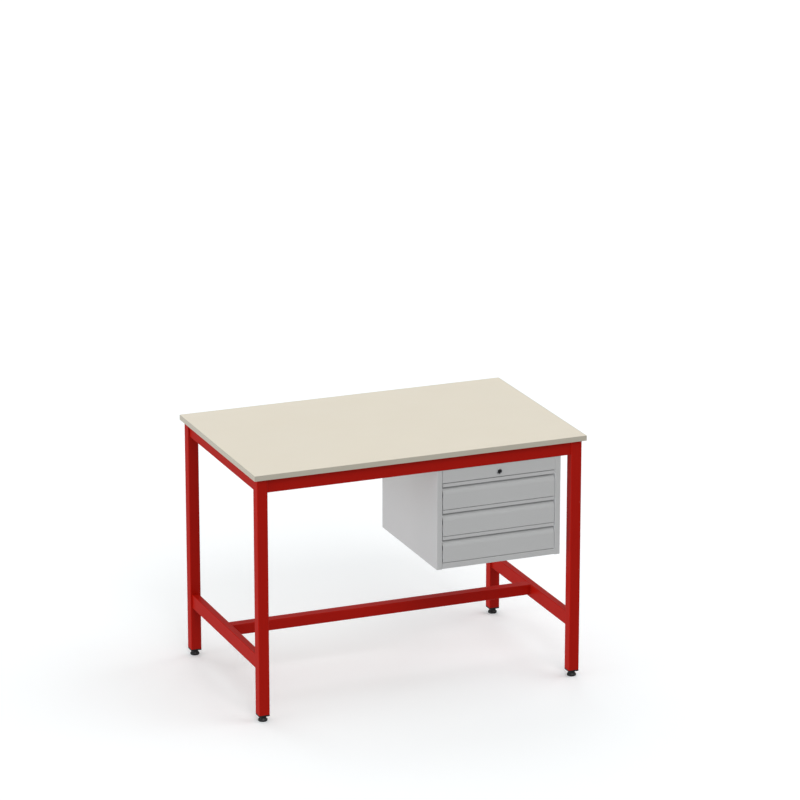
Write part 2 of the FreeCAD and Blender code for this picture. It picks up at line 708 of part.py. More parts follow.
def channel(name, sign, near, far, web_near, y, middle, height, plate):
    """A C section along Y: a web from web_near, and a flange above and below."""
    low, high = middle - height * half, middle + height * half
    web = block(f"{name}_web", inward(sign, web_near, web_near + plate), y, (low, high))
    lower = block(f"{name}_lower", inward(sign, near, far), y, (low, low + plate))
    upper = block(f"{name}_upper", inward(sign, near, far), y, (high - plate, high))
    return joined(name, [web, lower, upper])


def make_runners():
    start = cabinet_front + dim.runner_setback
    depth = (start, panel_back - dim.runner_back_gap)
    glides = []
    for side, sign in SIDES:
        runners = []
        for level in LEVELS:
            middle = runner_centre(level)
            runners.append(channel(f"runner_{side}_{level}", sign, dim.stile,
                                   dim.stile + dim.runner_width, dim.stile, depth, middle,
                                   dim.runner_height, dim.runner_plate))
            across = inward(sign, dim.stile + dim.runner_plate, dim.stile + dim.runner_width)
            along = (start, start + dim.glide_length)
            inner = dim.runner_height * half - dim.runner_plate
            rail = dim.rail_c_height * half + dim.glide_gap
            glides.append(block(f"glide_{side}_{level}_low", across, along,
                                (middle - inner, middle - rail)))
            glides.append(block(f"glide_{side}_{level}_high", across, along,
                                (middle + rail, middle + inner)))
        finish(group(f"runners_{side}", runners), f"runners_{side}")
    finish(group("runner_glides", glides), "runner_glides")


def make_drawer_front(level):
    """One folded sheet: flat face, round face, finger groove, and a lip flush with the face."""
    name = f"drawer_front_{level}"
    zero = as_size(0)
    top = front_height
    arc_rise = root(dim.grip_radius * dim.grip_radius
                    - (dim.grip_radius - dim.grip_depth) * (dim.grip_radius - dim.grip_depth))
    arc_end = top - dim.lip_height
    arc_start = arc_end - arc_rise
    inner_radius = dim.grip_radius - dim.sheet
    inner_gap = dim.grip_radius - dim.grip_depth - dim.sheet
    inner_end = arc_start + root(inner_radius * inner_radius - inner_gap * inner_gap)
    channel_back = dim.grip_depth + dim.sheet
    shelf = channel_back + dim.fold
    body = doc.addObject("PartDesign::Body", name)
    section = new_sketch(body, f"{name}_section", "YZ_Plane")
    draw_outline(section, [
        (zero, zero),
        (shelf, zero),
        (shelf, dim.sheet),
        (dim.sheet, dim.sheet),
        (dim.sheet, arc_start, inner_radius, -1),
        (channel_back, inner_end),
        (channel_back, top),
        (zero, top),
        (zero, arc_end),
        (dim.lip_thickness, arc_end),
        (dim.lip_thickness, top - dim.sheet),
        (dim.grip_depth, top - dim.sheet),
        (dim.grip_depth, arc_end, dim.grip_radius, 1),
        (zero, arc_start),
    ])
    left = cabinet_left + dim.stile + dim.drawer_side_gap
    right = cabinet_right - dim.stile - dim.drawer_side_gap
    pad(body, section, f"{name}_pad", right - left)
    place(body, (left, cabinet_front, front_bottom(level)))
    finish(body, name)


def make_drawer_tray(level):
    """Open sheet box with its long edges folded inwards."""
    name = f"drawer_tray_{level}"
    low = front_bottom(level) + dim.sheet
    high = low + tray_height
    left, right = cabinet_left + tray_side, cabinet_right - tray_side
    outer = block(f"{name}_outer", (left, right), (tray_front, tray_back), (low, high))
    inner = block(f"{name}_inner", (left + dim.sheet, right - dim.sheet),
                  (tray_front + dim.sheet, tray_back - dim.sheet), (low + dim.sheet, high))
    box = drilled(f"{name}_box", outer, [inner])
    rims = [block(f"{name}_rim_{side}", inward(sign, tray_side, tray_side + dim.tray_rim),
                  (tray_front, tray_back), (high - dim.sheet, high)) for side, sign in SIDES]
    finish(joined(name, [box] + rims), name)


def make_drawer_hardware(level):
    """Rails and rear glides on the tray's sides, and the catch on its back."""
    middle = runner_centre(level)
    start = cabinet_front + dim.runner_setback + dim.glide_gap
    glide_end = tray_back - dim.glide_back_gap
    rail_end = glide_end - dim.glide_length * half
    inner = dim.runner_height * half - dim.runner_plate
    near = dim.stile + dim.runner_plate + dim.glide_gap
    rails, glides = [], []
    for side, sign in SIDES:
        rails.append(channel(f"drawer_rail_{side}_{level}", sign, near, tray_side,
                             tray_side - dim.runner_plate, (start, rail_end), middle,
                             dim.rail_c_height, dim.runner_plate))
        glides.append(block(f"drawer_glide_{side}_{level}",
                            inward(sign, near, dim.stile + dim.runner_width),
                            (rail_end, glide_end),
                            (middle - inner + dim.glide_gap, middle + inner - dim.glide_gap)))
    finish(group(f"drawer_rails_{level}", rails), f"drawer_rails_{level}")
    finish(group(f"drawer_glides_{level}", glides), f"drawer_glides_{level}")

    low = front_bottom(level) + dim.catch_lift
    side = cabinet_middle + dim.bar_width * half + dim.catch_side
    across = (side, side + dim.catch_width)
    reach = tray_back + dim.bar_clear + dim.bar_plate + dim.catch_gap + dim.catch_plate
    plate = block(f"catch_{level}_plate", across, (tray_back, reach), (low, low + dim.catch_plate))
    lip = block(f"catch_{level}_lip", across, (reach - dim.catch_plate, reach),
                (low - dim.catch_drop, low))
    finish(joined(f"drawer_catch_{level}", [plate, lip]), f"drawer_catch_{level}")


# ---------------------------------------------------------------------------------------
# Lock: a plug turns a rod, and the rod's crank lifts a bar whose hooks hold the drawers
# ---------------------------------------------------------------------------------------
def make_lock():
    at = (cabinet_middle, lock_height)
    face = cabinet_front - dim.lock_flange
    barrel_end = cabinet_front + dim.lock_barrel
    bore = dim.lock_plug_radius + dim.running_fit
    flange = rod("lock_flange_disc", dim.lock_flange_radius, face, cabinet_front, at, "y")
    barrel = rod("lock_barrel_tube", dim.lock_barrel_radius, cabinet_front, barrel_end, at, "y")
    hole = rod("lock_bore", bore, face, barrel_end, at, "y")
    housing = drilled("lock_housing", joined("lock_housing_blank", [flange, barrel]), [hole])
    finish(housing, "lock_housing")

    behind = cabinet_front + dim.sheet
    blank = hexagon("lock_nut_blank", dim.lock_nut_corner, behind, behind + dim.lock_nut, at, "y")
    thread = rod("lock_nut_thread", dim.lock_barrel_radius, behind, behind + dim.lock_nut, at, "y")
    finish(drilled("lock_nut", blank, [thread]), "lock_nut")

    plug_face = face + dim.lock_recess
    plug_end = barrel_end + dim.lock_recess
    plug = rod("lock_plug_blank", dim.lock_plug_radius, plug_face, plug_end, at, "y")
    slot_x = dim.key_slot_width * half
    slot_z = dim.key_slot_height * half
    slot = block("keyhole", (cabinet_middle - slot_x, cabinet_middle + slot_x),
                 (plug_face, plug_face + dim.key_slot_depth),
                 (lock_height - slot_z, lock_height + slot_z))
    finish(drilled("lock_plug", plug, [slot]), "lock_plug")

    bar_front = tray_back + dim.bar_clear
    bar_back = bar_front + dim.bar_plate
    disc_back = bar_front - dim.bar_plate
    disc_front = disc_back - dim.crank_disc
    throw = dim.crank_throw * math.sqrt(half)         # the pin starts 45 degrees below level
    pin_at = (cabinet_middle + throw, lock_height - throw)
    shaft = rod("lock_rod_shaft", dim.rod_radius, plug_end, disc_front, at, "y")
    disc = rod("lock_rod_disc", dim.crank_radius, disc_front, disc_back, at, "y")
    pin = rod("lock_rod_pin", dim.crank_pin_radius, disc_back, bar_back + dim.bar_plate, pin_at, "y")
    finish(joined("lock_rod", [shaft, disc, pin]), "lock_rod")
    make_lock_bar(bar_front, bar_back, pin_at, throw)
    make_lock_guides(bar_front, bar_back)


def make_lock_bar(bar_front, bar_back, pin_at, throw):
    """Flat bar with a level slot for the crank pin, and a hook at its side for each drawer."""
    half_bar, half_head = dim.bar_width * half, dim.bar_head_width * half
    head_top = lock_height + dim.bar_head_height * half
    head_low = lock_height - dim.bar_head_height * half
    plate = (bar_front, bar_back)
    side = cabinet_middle + half_bar
    hooks = []
    for level in LEVELS:
        hook_top = front_bottom(level) + dim.catch_lift - dim.catch_drop - dim.hook_below
        bar_end = hook_top - dim.hook_height
        hooks.append(block(f"hook_{level}", (side, side + dim.hook_reach), plate, (bar_end, hook_top)))
    strip = block("bar_strip", (cabinet_middle - half_bar, side), plate, (bar_end, head_top))
    head = block("bar_head", (cabinet_middle - half_head, cabinet_middle + half_head), plate,
                 (head_low, head_top))
    slot_half = dim.crank_pin_radius + dim.yoke_gap
    slot = block("bar_slot",
                 (cabinet_middle + throw - slot_half, cabinet_middle + dim.crank_throw + slot_half),
                 plate, (pin_at[1] - slot_half, pin_at[1] + slot_half))
    finish(drilled("lock_bar", joined("lock_bar_blank", [strip, head] + hooks), [slot]), "lock_bar")


def make_lock_guides(bar_front, bar_back):
    """Two loops on the cabinet's back that the bar slides in, and the rod's bearing."""
    pieces = []
    across = (cabinet_middle - dim.guide_width * half, cabinet_middle + dim.guide_width * half)
    slot_half = dim.bar_width * half + dim.guide_gap
    slot_x = (cabinet_middle - slot_half, cabinet_middle + slot_half)
    for level in ("middle", "bottom"):
        low = front_bottom(level) + dim.guide_lift
        z = (low, low + dim.guide_height)
        solid = block(f"guide_{level}_solid", across,
                      (bar_front - dim.guide_gap - dim.guide_wall, panel_back), z)
        slot = block(f"guide_{level}_slot", slot_x,
                     (bar_front - dim.guide_gap, bar_back + dim.guide_gap), z)
        pieces.append(drilled(f"guide_{level}", solid, [slot]))

    y = (tray_back - dim.bearing_inset - dim.bearing_depth, tray_back - dim.bearing_inset)
    wide = dim.bearing_width * half
    block_z = (lock_height - wide, cabinet_top - dim.sheet)
    solid = block("rod_bearing_solid", (cabinet_middle - wide, cabinet_middle + wide), y, block_z)
    hole = rod("rod_bearing_hole", dim.rod_radius + dim.running_fit, y[0], y[1],
               (cabinet_middle, lock_height), "y")
    pieces.append(drilled("rod_bearing", solid, [hole]))
    finish(group("lock_guides", pieces), "lock_guides")


def check_model():
    """Stop if anything in the document failed, before any file is written."""
    for obj in doc.Objects:
        if "Invalid" in obj.State or "Error" in obj.State:
            raise RuntimeError(f"{obj.Label} failed: {obj.State}")
    for obj in SUBPARTS:
        if obj.Shape.isNull() or not obj.Shape.isValid() or not obj.Shape.Solids:
            raise RuntimeError(f"{obj.Label} has no valid solid")
    labels = [obj.Label for obj in SUBPARTS]
    if len(set(labels)) != len(labels):
        raise RuntimeError("two sub-parts share a name")


make_frame()
make_foot_inserts()
make_feet()
make_worktop()
make_cabinet_sides()
make_cabinet_shell()
make_runner_posts()
make_hangers()
make_runners()
for drawer_level in LEVELS:
    make_drawer_front(drawer_level)
    make_drawer_tray(drawer_level)
    make_drawer_hardware(drawer_level)
make_lock()
doc.recompute()
check_model()

os.makedirs("parts", exist_ok=True)
for subpart in SUBPARTS:
    subpart.Shape.exportStep(f"parts/{subpart.Label}.step")
print(f"{len(SUBPARTS)} sub-parts written")
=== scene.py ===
# %% [markdown]
# # A steel workbench with three drawers
#
# The real bench is a welded frame of square steel tube, painted red, with a laminated board
# on top. A folded steel cabinet with three drawers and a lock hangs under its right side.
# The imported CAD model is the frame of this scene: it gives every place and size in metres,
# and this lesson gives each piece its finished shape and its finish.

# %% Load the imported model
import json
import math

import bmesh
import bpy
from mathutils import Matrix, Vector

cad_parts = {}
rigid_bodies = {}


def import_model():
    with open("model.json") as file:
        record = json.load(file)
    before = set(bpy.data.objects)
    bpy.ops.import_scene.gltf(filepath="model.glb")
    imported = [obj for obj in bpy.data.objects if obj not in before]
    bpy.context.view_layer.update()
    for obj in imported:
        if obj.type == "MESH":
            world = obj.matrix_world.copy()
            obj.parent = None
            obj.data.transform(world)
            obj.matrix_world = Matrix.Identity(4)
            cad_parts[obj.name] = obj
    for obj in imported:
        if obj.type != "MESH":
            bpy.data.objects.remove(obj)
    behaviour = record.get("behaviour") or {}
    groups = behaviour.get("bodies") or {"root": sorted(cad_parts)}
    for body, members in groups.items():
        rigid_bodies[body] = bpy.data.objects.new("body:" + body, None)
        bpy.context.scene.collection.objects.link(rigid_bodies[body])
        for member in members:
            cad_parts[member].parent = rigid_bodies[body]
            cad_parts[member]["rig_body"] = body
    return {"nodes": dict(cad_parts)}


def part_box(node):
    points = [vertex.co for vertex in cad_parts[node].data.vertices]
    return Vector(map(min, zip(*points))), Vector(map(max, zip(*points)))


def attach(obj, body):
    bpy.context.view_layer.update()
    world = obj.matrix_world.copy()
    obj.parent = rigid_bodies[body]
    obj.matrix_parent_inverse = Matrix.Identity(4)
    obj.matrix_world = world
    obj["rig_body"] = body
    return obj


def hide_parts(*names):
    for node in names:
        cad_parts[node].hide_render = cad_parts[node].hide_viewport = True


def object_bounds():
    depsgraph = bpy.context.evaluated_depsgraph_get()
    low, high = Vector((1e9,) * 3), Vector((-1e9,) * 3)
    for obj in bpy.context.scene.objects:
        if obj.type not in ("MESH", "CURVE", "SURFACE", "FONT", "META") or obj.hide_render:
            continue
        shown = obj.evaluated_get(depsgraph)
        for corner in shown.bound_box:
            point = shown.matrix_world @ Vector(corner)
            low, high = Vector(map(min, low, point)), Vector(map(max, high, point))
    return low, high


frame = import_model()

MM = 0.001
SIDES = ("left", "right")
CORNERS = ("front_left", "front_right", "back_left", "back_right")
LEVELS = ("top", "middle", "bottom")
cad_low, cad_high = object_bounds()
print("CAD box in mm:", [round(size / MM) for size in cad_high - cad_low])

# %% [markdown]
# ## Colours and nodes
#
# Paint makers and designers give colours as sRGB hex values, and shaders work with linear
# light, so one function turns the first into the second. A second one adds a shader or
# geometry node. It could be done by hand in the node editor, but a function shows each
# setting next to the node that it belongs to.

# %% Turn a hex colour into linear light
def linear(colour):
    """Linear red, green, blue and alpha of a colour such as #ffffff."""
    channels = [int(colour[place:place + 2], 16) / 255 for place in (1, 3, 5)]
    return tuple(c / 12.92 if c <= 0.04045 else ((c + 0.055) / 1.055) ** 2.4
                 for c in channels) + (1.0,)


# %% Add one node
def add_node(tree, kind, inputs=None, **settings):
    """Add a node. An input is a value, another node's output to link, or a list of outputs."""
    node = tree.nodes.new(kind)
    for name, value in settings.items():
        setattr(node, name, value)
    for name, value in (inputs or {}).items():
        for source in value if isinstance(value, list) else [value]:
            if isinstance(source, bpy.types.NodeSocket):
                tree.links.new(source, node.inputs[name])
            else:
                node.inputs[name].default_value = source
    return node


# %% [markdown]
# ## Finishes
#
# Every material starts from the real finish: what it is, and how the surface was made. A
# pattern's scale is one over its size in metres, because Object coordinates are in metres.
# Most finishes have a broad, faint change of shade, some of roughness too, and a fine relief
# from a bump, so that they aren't one flat colour in a close view.

# %% Start a material
def new_material(name, slot, colour, roughness, metallic=0.0):
    """A material with its shader's plain values set, and the slot that it belongs to."""
    material = bpy.data.materials.new(name)
    material.use_nodes = True
    material["slot"] = slot
    material.diffuse_color = linear(colour)
    shader = material.node_tree.nodes["Principled BSDF"]
    shader.inputs["Base Color"].default_value = linear(colour)
    shader.inputs["Roughness"].default_value = roughness
    shader.inputs["Metallic"].default_value = metallic
    print("Material:", name, colour)
    return material


# %% Give it a pattern of a real size
def pattern(material, size_mm, kind="ShaderNodeTexNoise", stretch=(1, 1, 1), **inputs):
    """A texture whose lumps are this many millimetres across, in the piece's coordinates."""
    tree = material.node_tree
    where = add_node(tree, "ShaderNodeTexCoord").outputs["Object"]
    place = add_node(tree, "ShaderNodeMapping", {"Vector": where, "Scale": stretch})
    return add_node(tree, kind, {"Vector": place.outputs[0], "Scale": 1 / (size_mm * MM),
                                 **inputs}).outputs[0]


def vary(material, lumps, shades=None, roughness=None, relief=None):
    """Let a pattern change the shade, the roughness or the height of a surface.

    Shades are two near colours, roughness is its two ends, and relief is a depth in
    millimetres and a strength. Noise stays mostly between 0.3 and 0.7.
    """
    tree = material.node_tree
    shader = tree.nodes["Principled BSDF"]
    if shades:
        shade = add_node(tree, "ShaderNodeMix", {
            "Factor": lumps, 6: linear(shades[0]), 7: linear(shades[1])}, data_type="RGBA")
        tree.links.new(shade.outputs[2], shader.inputs["Base Color"])
    if roughness:
        rough = add_node(tree, "ShaderNodeMapRange", {
            "Value": lumps, "From Min": 0.3, "From Max": 0.7,
            "To Min": roughness[0], "To Max": roughness[1]})
        tree.links.new(rough.outputs["Result"], shader.inputs["Roughness"])
    if relief:
        bump = add_node(tree, "ShaderNodeBump", {
            "Height": lumps, "Distance": relief[0] * MM, "Strength": relief[1]})
        tree.links.new(bump.outputs["Normal"], shader.inputs["Normal"])


# %% [markdown]
# ### Red powder coat
#
# The frame is sprayed with dry polyester powder and baked. The powder melts into a thick
# even skin with a satin gloss and a fine "orange peel", soft ripples 2 or 3 mm apart. Three
# noises do that: two broad ones for the faint changes of shade and of gloss, and a fine one
# for the ripples.

# %% Paints for the frame and the cabinet
PEEL_MM = 2.5


def powder_coat(name, slot, colour, shades, roughness):
    """Baked powder paint: a satin skin with fine orange peel, and only a faint mirror."""
    material = new_material(name, slot, colour, roughness)
    material.node_tree.nodes["Principled BSDF"].inputs["Specular IOR Level"].default_value = 0.15
    vary(material, pattern(material, 140), shades=shades)
    vary(material, pattern(material, 60), roughness=(roughness - 0.03, roughness + 0.03))
    vary(material, pattern(material, PEEL_MM, Detail=1.0), relief=(0.02, 0.35))
    return material


red_paint = powder_coat("red_powder_coat", "frame_paint", "#b11407", ("#af1206", "#b41609"), 0.36)
grey_paint = powder_coat("grey_powder_coat", "cabinet_paint", "#c8c9c9", ("#c7c8c8", "#cacbcb"),
                         0.42)

# %% [markdown]
# ### Laminate, edge strip and board
#
# The top is high-pressure laminate: paper soaked in resin and pressed against a textured
# plate. It is cream, hard and almost matt, with a very fine pebble grain. The grain is about
# 0.4 mm, too fine to show from across a room, so it is drawn at 0.8 mm. The edge strip is
# ABS of the same cream, a bit smoother, but it is given a darker colour: painted shade for
# its upright faces, which get less light than the top. The raw board inside is wood chips
# of about 4 mm, pressed with glue.

# %% Materials for the worktop
laminate = new_material("cream_laminate", "laminate", "#e7dfce", 0.5)
vary(laminate, pattern(laminate, 220, Detail=3.0), shades=("#e6decc", "#e8e1d1"))
vary(laminate, pattern(laminate, 90), roughness=(0.46, 0.54))
vary(laminate, pattern(laminate, 0.8, Detail=1.0), relief=(0.02, 0.25))

# Darker than the laminate: this colour and its two shades hold painted shade for the edge's
# upright faces.
edge_strip = new_material("cream_abs_edge_painted_shade", "edge_strip", "#c6c0b1", 0.42)
vary(edge_strip, pattern(edge_strip, 120), shades=("#c5beae", "#c8c3b4"))
vary(edge_strip, pattern(edge_strip, 1.5, Detail=1.0), relief=(0.01, 0.2))

backing = new_material("backing_laminate", "backing", "#dcd4c2", 0.6)
vary(backing, pattern(backing, 60), shades=("#d8d0bd", "#dfd8c7"))
vary(backing, pattern(backing, 1.2), relief=(0.02, 0.3))

chipboard = new_material("raw_chipboard", "chipboard", "#c3a077", 0.85)
vary(chipboard, pattern(chipboard, 4, kind="ShaderNodeTexVoronoi"),
     shades=("#cfae86", "#a9875f"), relief=(0.3, 0.6))

# %% [markdown]
# ### Zinc, chrome and nickel
#
# Runners, bolts and the lock's linkage are zinc plated: a bluish, slightly cloudy metal with
# drawing lines along the strip. The lock's bezel is polished chrome, and its plug is dull
# dark nickel. Metals get their look from what they mirror, so they keep the default IOR, and
# only their colour and roughness differ.

# %% Metals
zinc = new_material("zinc_plate", "zinc_steel", "#c9ccce", 0.34, metallic=1.0)
vary(zinc, pattern(zinc, 18, Detail=3.0), shades=("#c2c6c9", "#d0d3d4"))
vary(zinc, pattern(zinc, 2.5, stretch=(1, 0.04, 1)), roughness=(0.28, 0.42))
vary(zinc, pattern(zinc, 0.9, stretch=(1, 0.03, 1), Detail=1.0), relief=(0.01, 0.3))

chrome = new_material("polished_chrome", "lock_chrome", "#d6d8da", 0.12, metallic=1.0)
vary(chrome, pattern(chrome, 3), roughness=(0.09, 0.16))

nickel = new_material("dark_nickel", "lock_plug_metal", "#4a4b4d", 0.34, metallic=1.0)
vary(nickel, pattern(nickel, 2), shades=("#444547", "#525355"))
vary(nickel, pattern(nickel, 0.5, stretch=(1, 1, 0.1), Detail=1.0), relief=(0.005, 0.3))

# %% [markdown]
# ### Moulded plastics
#
# The feet and the leg inserts are black nylon, moulded in a spark-eroded tool, which leaves
# a fine even grain and a soft sheen. The glides are the same plastic with no pigment, so
# they are milky white and a little waxy.

# %% Plastics
black_nylon = new_material("black_moulded_nylon", "foot_plastic", "#17191a", 0.42)
vary(black_nylon, pattern(black_nylon, 12), shades=("#151718", "#1b1d1e"))
vary(black_nylon, pattern(black_nylon, 0.35, Detail=1.0), relief=(0.03, 0.3))

white_nylon = new_material("natural_nylon", "nylon", "#e6e4da", 0.38)
vary(white_nylon, pattern(white_nylon, 9), shades=("#e2e0d4", "#e9e7de"))
vary(white_nylon, pattern(white_nylon, 0.8, Detail=1.0), relief=(0.02, 0.2))

# %% [markdown]
# ## From outline to finished piece
#
# Nearly everything here is a section run along a straight line: tube, folded sheet, board.
# So the first helpers make rounded outlines and run them along an axis. The real folds and
# tube corners have radii of 1 to 3 mm, and the light that they catch is what tells steel
# from card. Cut edges get a small bevel, as tumbling, trimming and paint leave them.

# %% Round the corners of an outline
NEARLY_STRAIGHT = math.radians(179)
NEARLY_HALF = 0.499


def rounded(points, steps=4):
    """A closed outline with round corners. Each point is (u, v, radius)."""
    outline = []
    for index, (u, v, radius) in enumerate(points):
        here = Vector((u, v))
        before = Vector(points[index - 1][:2]) - here
        after = Vector(points[(index + 1) % len(points)][:2]) - here
        angle = before.angle(after)
        if radius <= 0 or angle > NEARLY_STRAIGHT:
            outline.append(here)
            continue
        reach = min(radius / math.tan(angle / 2), NEARLY_HALF * min(before.length, after.length))
        radius = reach * math.tan(angle / 2)
        before.normalize()
        after.normalize()
        centre = here + (before + after).normalized() * (radius / math.sin(angle / 2))
        arm = here + before * reach - centre
        turn = math.copysign(math.pi - angle, -before.x * after.y + before.y * after.x)
        outline += [centre + Matrix.Rotation(turn * step / steps, 2) @ arm
                    for step in range(steps + 1)]
    return outline


def rectangle(low, high, radius=0.0):
    """The four corners of a rectangle, each with a radius."""
    return [(low[0], low[1], radius), (high[0], low[1], radius),
            (high[0], high[1], radius), (low[0], high[1], radius)]


# %% Turn a sheet's path into its outline
def sheet_outline(path, thickness, bend):
    """The outline of a folded sheet from the line through its middle, with this inner bend."""
    path = [Vector(point) for point in path]
    sides = {1: [], -1: []}
    for index, here in enumerate(path):
        back = (here - path[index - 1]).normalized() if index else None
        on = (path[index + 1] - here).normalized() if index + 1 < len(path) else None
        back, on = back or on, on or back
        left = (Vector((-back.y, back.x)) + Vector((-on.y, on.x))) / 2
        turn = back.x * on.y - back.y * on.x
        for side in sides:
            at = here + left * (side * thickness / 2 / left.length_squared)
            radius = 0.0 if turn == 0 else bend + (thickness if turn * side < 0 else 0.0)
            sides[side].append((at.x, at.y, radius))
    return sides[1] + sides[-1][::-1]


# %% Run an outline along an axis
def placed(point, along, axis):
    """A point of an outline as a place: the outline lies across the axis."""
    u, v = point
    return {"x": (along, u, v), "y": (u, along, v), "z": (u, v, along)}[axis]


def prism(outline, axis, low, high):
    """A closed shell, as its points and faces: an outline run from low to high."""
    count = len(outline)
    points = [placed(p, along, axis) for along in (low, high) for p in outline]
    faces = [(i, (i + 1) % count, count + (i + 1) % count, count + i) for i in range(count)]
    return points, faces + [tuple(range(count)), tuple(range(count, 2 * count))]


def sleeve(outer, inner, axis, low, high):
    """A hollow shell between two outlines that have the same number of points."""
    count = len(outer)
    rings = [(outer, low), (outer, high), (inner, high), (inner, low)]
    points = [placed(p, along, axis) for outline, along in rings for p in outline]
    faces = []
    for ring in range(4):
        here, there = ring * count, (ring + 1) % 4 * count
        faces += [(here + i, here + (i + 1) % count, there + (i + 1) % count, there + i)
                  for i in range(count)]
    return points, faces


def lathe(profile, centre, axis, steps=64):
    """A closed profile of (radius, along) points turned round an axis."""
    count = len(profile)
    points = []
    for step in range(steps):
        angle = math.tau * step / steps
        for radius, along in profile:
            at = (centre[0] + radius * math.cos(angle), centre[1] + radius * math.sin(angle))
            points.append(placed(at, along, axis))
    faces = []
    for step in range(steps):
        here, there = step * count, (step + 1) % steps * count
        faces += [(here + i, here + (i + 1) % count, there + (i + 1) % count, there + i)
                  for i in range(count)]
    return points, faces


# %% Make a mesh from shells
SAME_PLACE = 0.001 * MM


def make_object(name, shells):
    """One object from several closed shells, each with its normals turned outwards."""
    built = bmesh.new()
    for points, faces in shells:
        vertices = [built.verts.new(point) for point in points]
        for face in faces:
            built.faces.new([vertices[index] for index in face])
    bmesh.ops.remove_doubles(built, verts=built.verts, dist=SAME_PLACE)
    bmesh.ops.dissolve_degenerate(built, edges=built.edges, dist=SAME_PLACE)
    bmesh.ops.recalc_face_normals(built, faces=built.faces)
    mesh = bpy.data.meshes.new(name)
    built.to_mesh(mesh)
    built.free()
    obj = bpy.data.objects.new(name, mesh)
    bpy.context.scene.collection.objects.link(obj)
    return obj


def bake_modifiers(obj):
    """Give an object the mesh that its modifiers make, and remove them."""
    graph = bpy.context.evaluated_depsgraph_get()
    mesh = bpy.data.meshes.new_from_object(obj.evaluated_get(graph), depsgraph=graph)
    obj.modifiers.clear()
    obj.data = mesh


# %% Soften the edges and hand the piece to the frame
BEVELLED_FROM = math.radians(40)
SHARP_FROM = math.radians(50)
pieces = []


def triangles():
    """How many triangles all the finished pieces have."""
    return sum(len(face.vertices) - 2 for obj in pieces for face in obj.data.polygons)


def finish_piece(obj, material, body, nodes=(), bevel=0.0, segments=2):
    """Bevel, shade and paint a piece, fix it to its body, and hide the CAD nodes it stands for."""
    if bevel:
        edges = obj.modifiers.new("Soft edges", "BEVEL")
        edges.width = bevel
        edges.segments = segments
        edges.limit_method = "ANGLE"
        edges.angle_limit = BEVELLED_FROM
    bake_modifiers(obj)
    obj.data.shade_smooth()
    obj.data.set_sharp_from_angle(angle=SHARP_FROM)
    obj.modifiers.new("Triangles", "TRIANGULATE").min_vertices = 5
    flats = obj.modifiers.new("Flat faces stay flat", "WEIGHTED_NORMAL")
    flats.keep_sharp = True
    bake_modifiers(obj)
    obj.data.materials.clear()
    obj.data.materials.append(material)
    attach(obj, body)
    if nodes:
        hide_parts(*nodes)
    pieces.append(obj)
    print("Piece:", obj.name, "on", body)
    return obj


def piece(name, shells, material, body, nodes=(), bevel=0.0, segments=2):
    """A finished piece from its shells."""
    return finish_piece(make_object(name, shells), material, body, nodes, bevel, segments)


# %% [markdown]
# ## Copies with soft edges
#
# Small blocks, guides and clips already have their right shape in the CAD model, but a CAD
# edge is perfectly sharp. A copy of the node is merged, its flat faces are joined again and
# its edges bevelled. The CAD node itself stays as it is.

# %% Soften a copy of a CAD node
def softened(node, material, bevel):
    """Stand a bevelled copy in for a CAD node."""
    source = frame["nodes"][node]
    obj = bpy.data.objects.new(f"{node}_piece", source.data.copy())
    bpy.context.scene.collection.objects.link(obj)
    built = bmesh.new()
    built.from_mesh(obj.data)
    bmesh.ops.remove_doubles(built, verts=built.verts, dist=SAME_PLACE)
    bmesh.ops.dissolve_limit(built, angle_limit=math.radians(1), verts=built.verts,
                             edges=built.edges)
    built.to_mesh(obj.data)
    built.free()
    if obj.data.has_custom_normals:
        obj.data.attributes.remove(obj.data.attributes["custom_normal"])
    return finish_piece(obj, material, source["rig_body"], (node,), bevel)


def cut_away(obj, shell):
    """Cut one shell out of an object."""
    cutter = make_object("cutter", [shell])
    hole = obj.modifiers.new("Hole", "BOOLEAN")
    hole.object = cutter
    hole.operation = "DIFFERENCE"
    hole.solver = "EXACT"
    bake_modifiers(obj)
    bpy.data.objects.remove(cutter)


# %% [markdown]
# ## The frame
#
# The frame is cold-rolled tube: 38 mm square for the legs and the stretcher, 50 by 25 mm for
# the rails. Rolling leaves an outer corner radius of about one and a half walls. A tube could
# be a cube with a bevel, but then it would be solid, so an outer and an inner outline make a
# real wall. The rails' ends are square cuts that butt against the legs.

# %% Tubes
TUBE_STEPS = 5
LEG_WALL, LEG_CORNER = 2 * MM, 3 * MM
RAIL_WALL, RAIL_CORNER = 1.5 * MM, 2.5 * MM


def tube(node, axis, wall, corner):
    """A round-cornered tube that fills a CAD node's box along one axis."""
    low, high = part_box(node)
    across = [i for i in range(3) if i != "xyz".index(axis)]
    run = "xyz".index(axis)
    outer_low, outer_high = [low[i] for i in across], [high[i] for i in across]
    inner_low, inner_high = [v + wall for v in outer_low], [v - wall for v in outer_high]
    outer = rounded(rectangle(outer_low, outer_high, corner), TUBE_STEPS)
    inner = rounded(rectangle(inner_low, inner_high, corner - wall), TUBE_STEPS)
    return piece(f"{node}_tube", [sleeve(outer, inner, axis, low[run], high[run])], red_paint,
                 "bench", (node,))


for corner in CORNERS:
    tube(f"leg_{corner}", "z", LEG_WALL, LEG_CORNER)
for side in ("front", "back"):
    tube(f"top_rail_{side}", "x", RAIL_WALL, RAIL_CORNER)
for side in SIDES:
    tube(f"top_rail_{side}", "y", RAIL_WALL, RAIL_CORNER)
    tube(f"end_rail_{side}", "y", RAIL_WALL, RAIL_CORNER)
tube("stretcher", "x", LEG_WALL, LEG_CORNER)
print("Frame tubes, triangles so far:", triangles())

# %% [markdown]
# ## Geometry Nodes for what repeats
#
# Weld beads, screws, bolts and threads repeat or follow a line. Each has its own small node
# tree with named inputs, so one number changes them all. The tree runs on points or edges
# that come from the frame's boxes, and its result becomes a plain mesh.

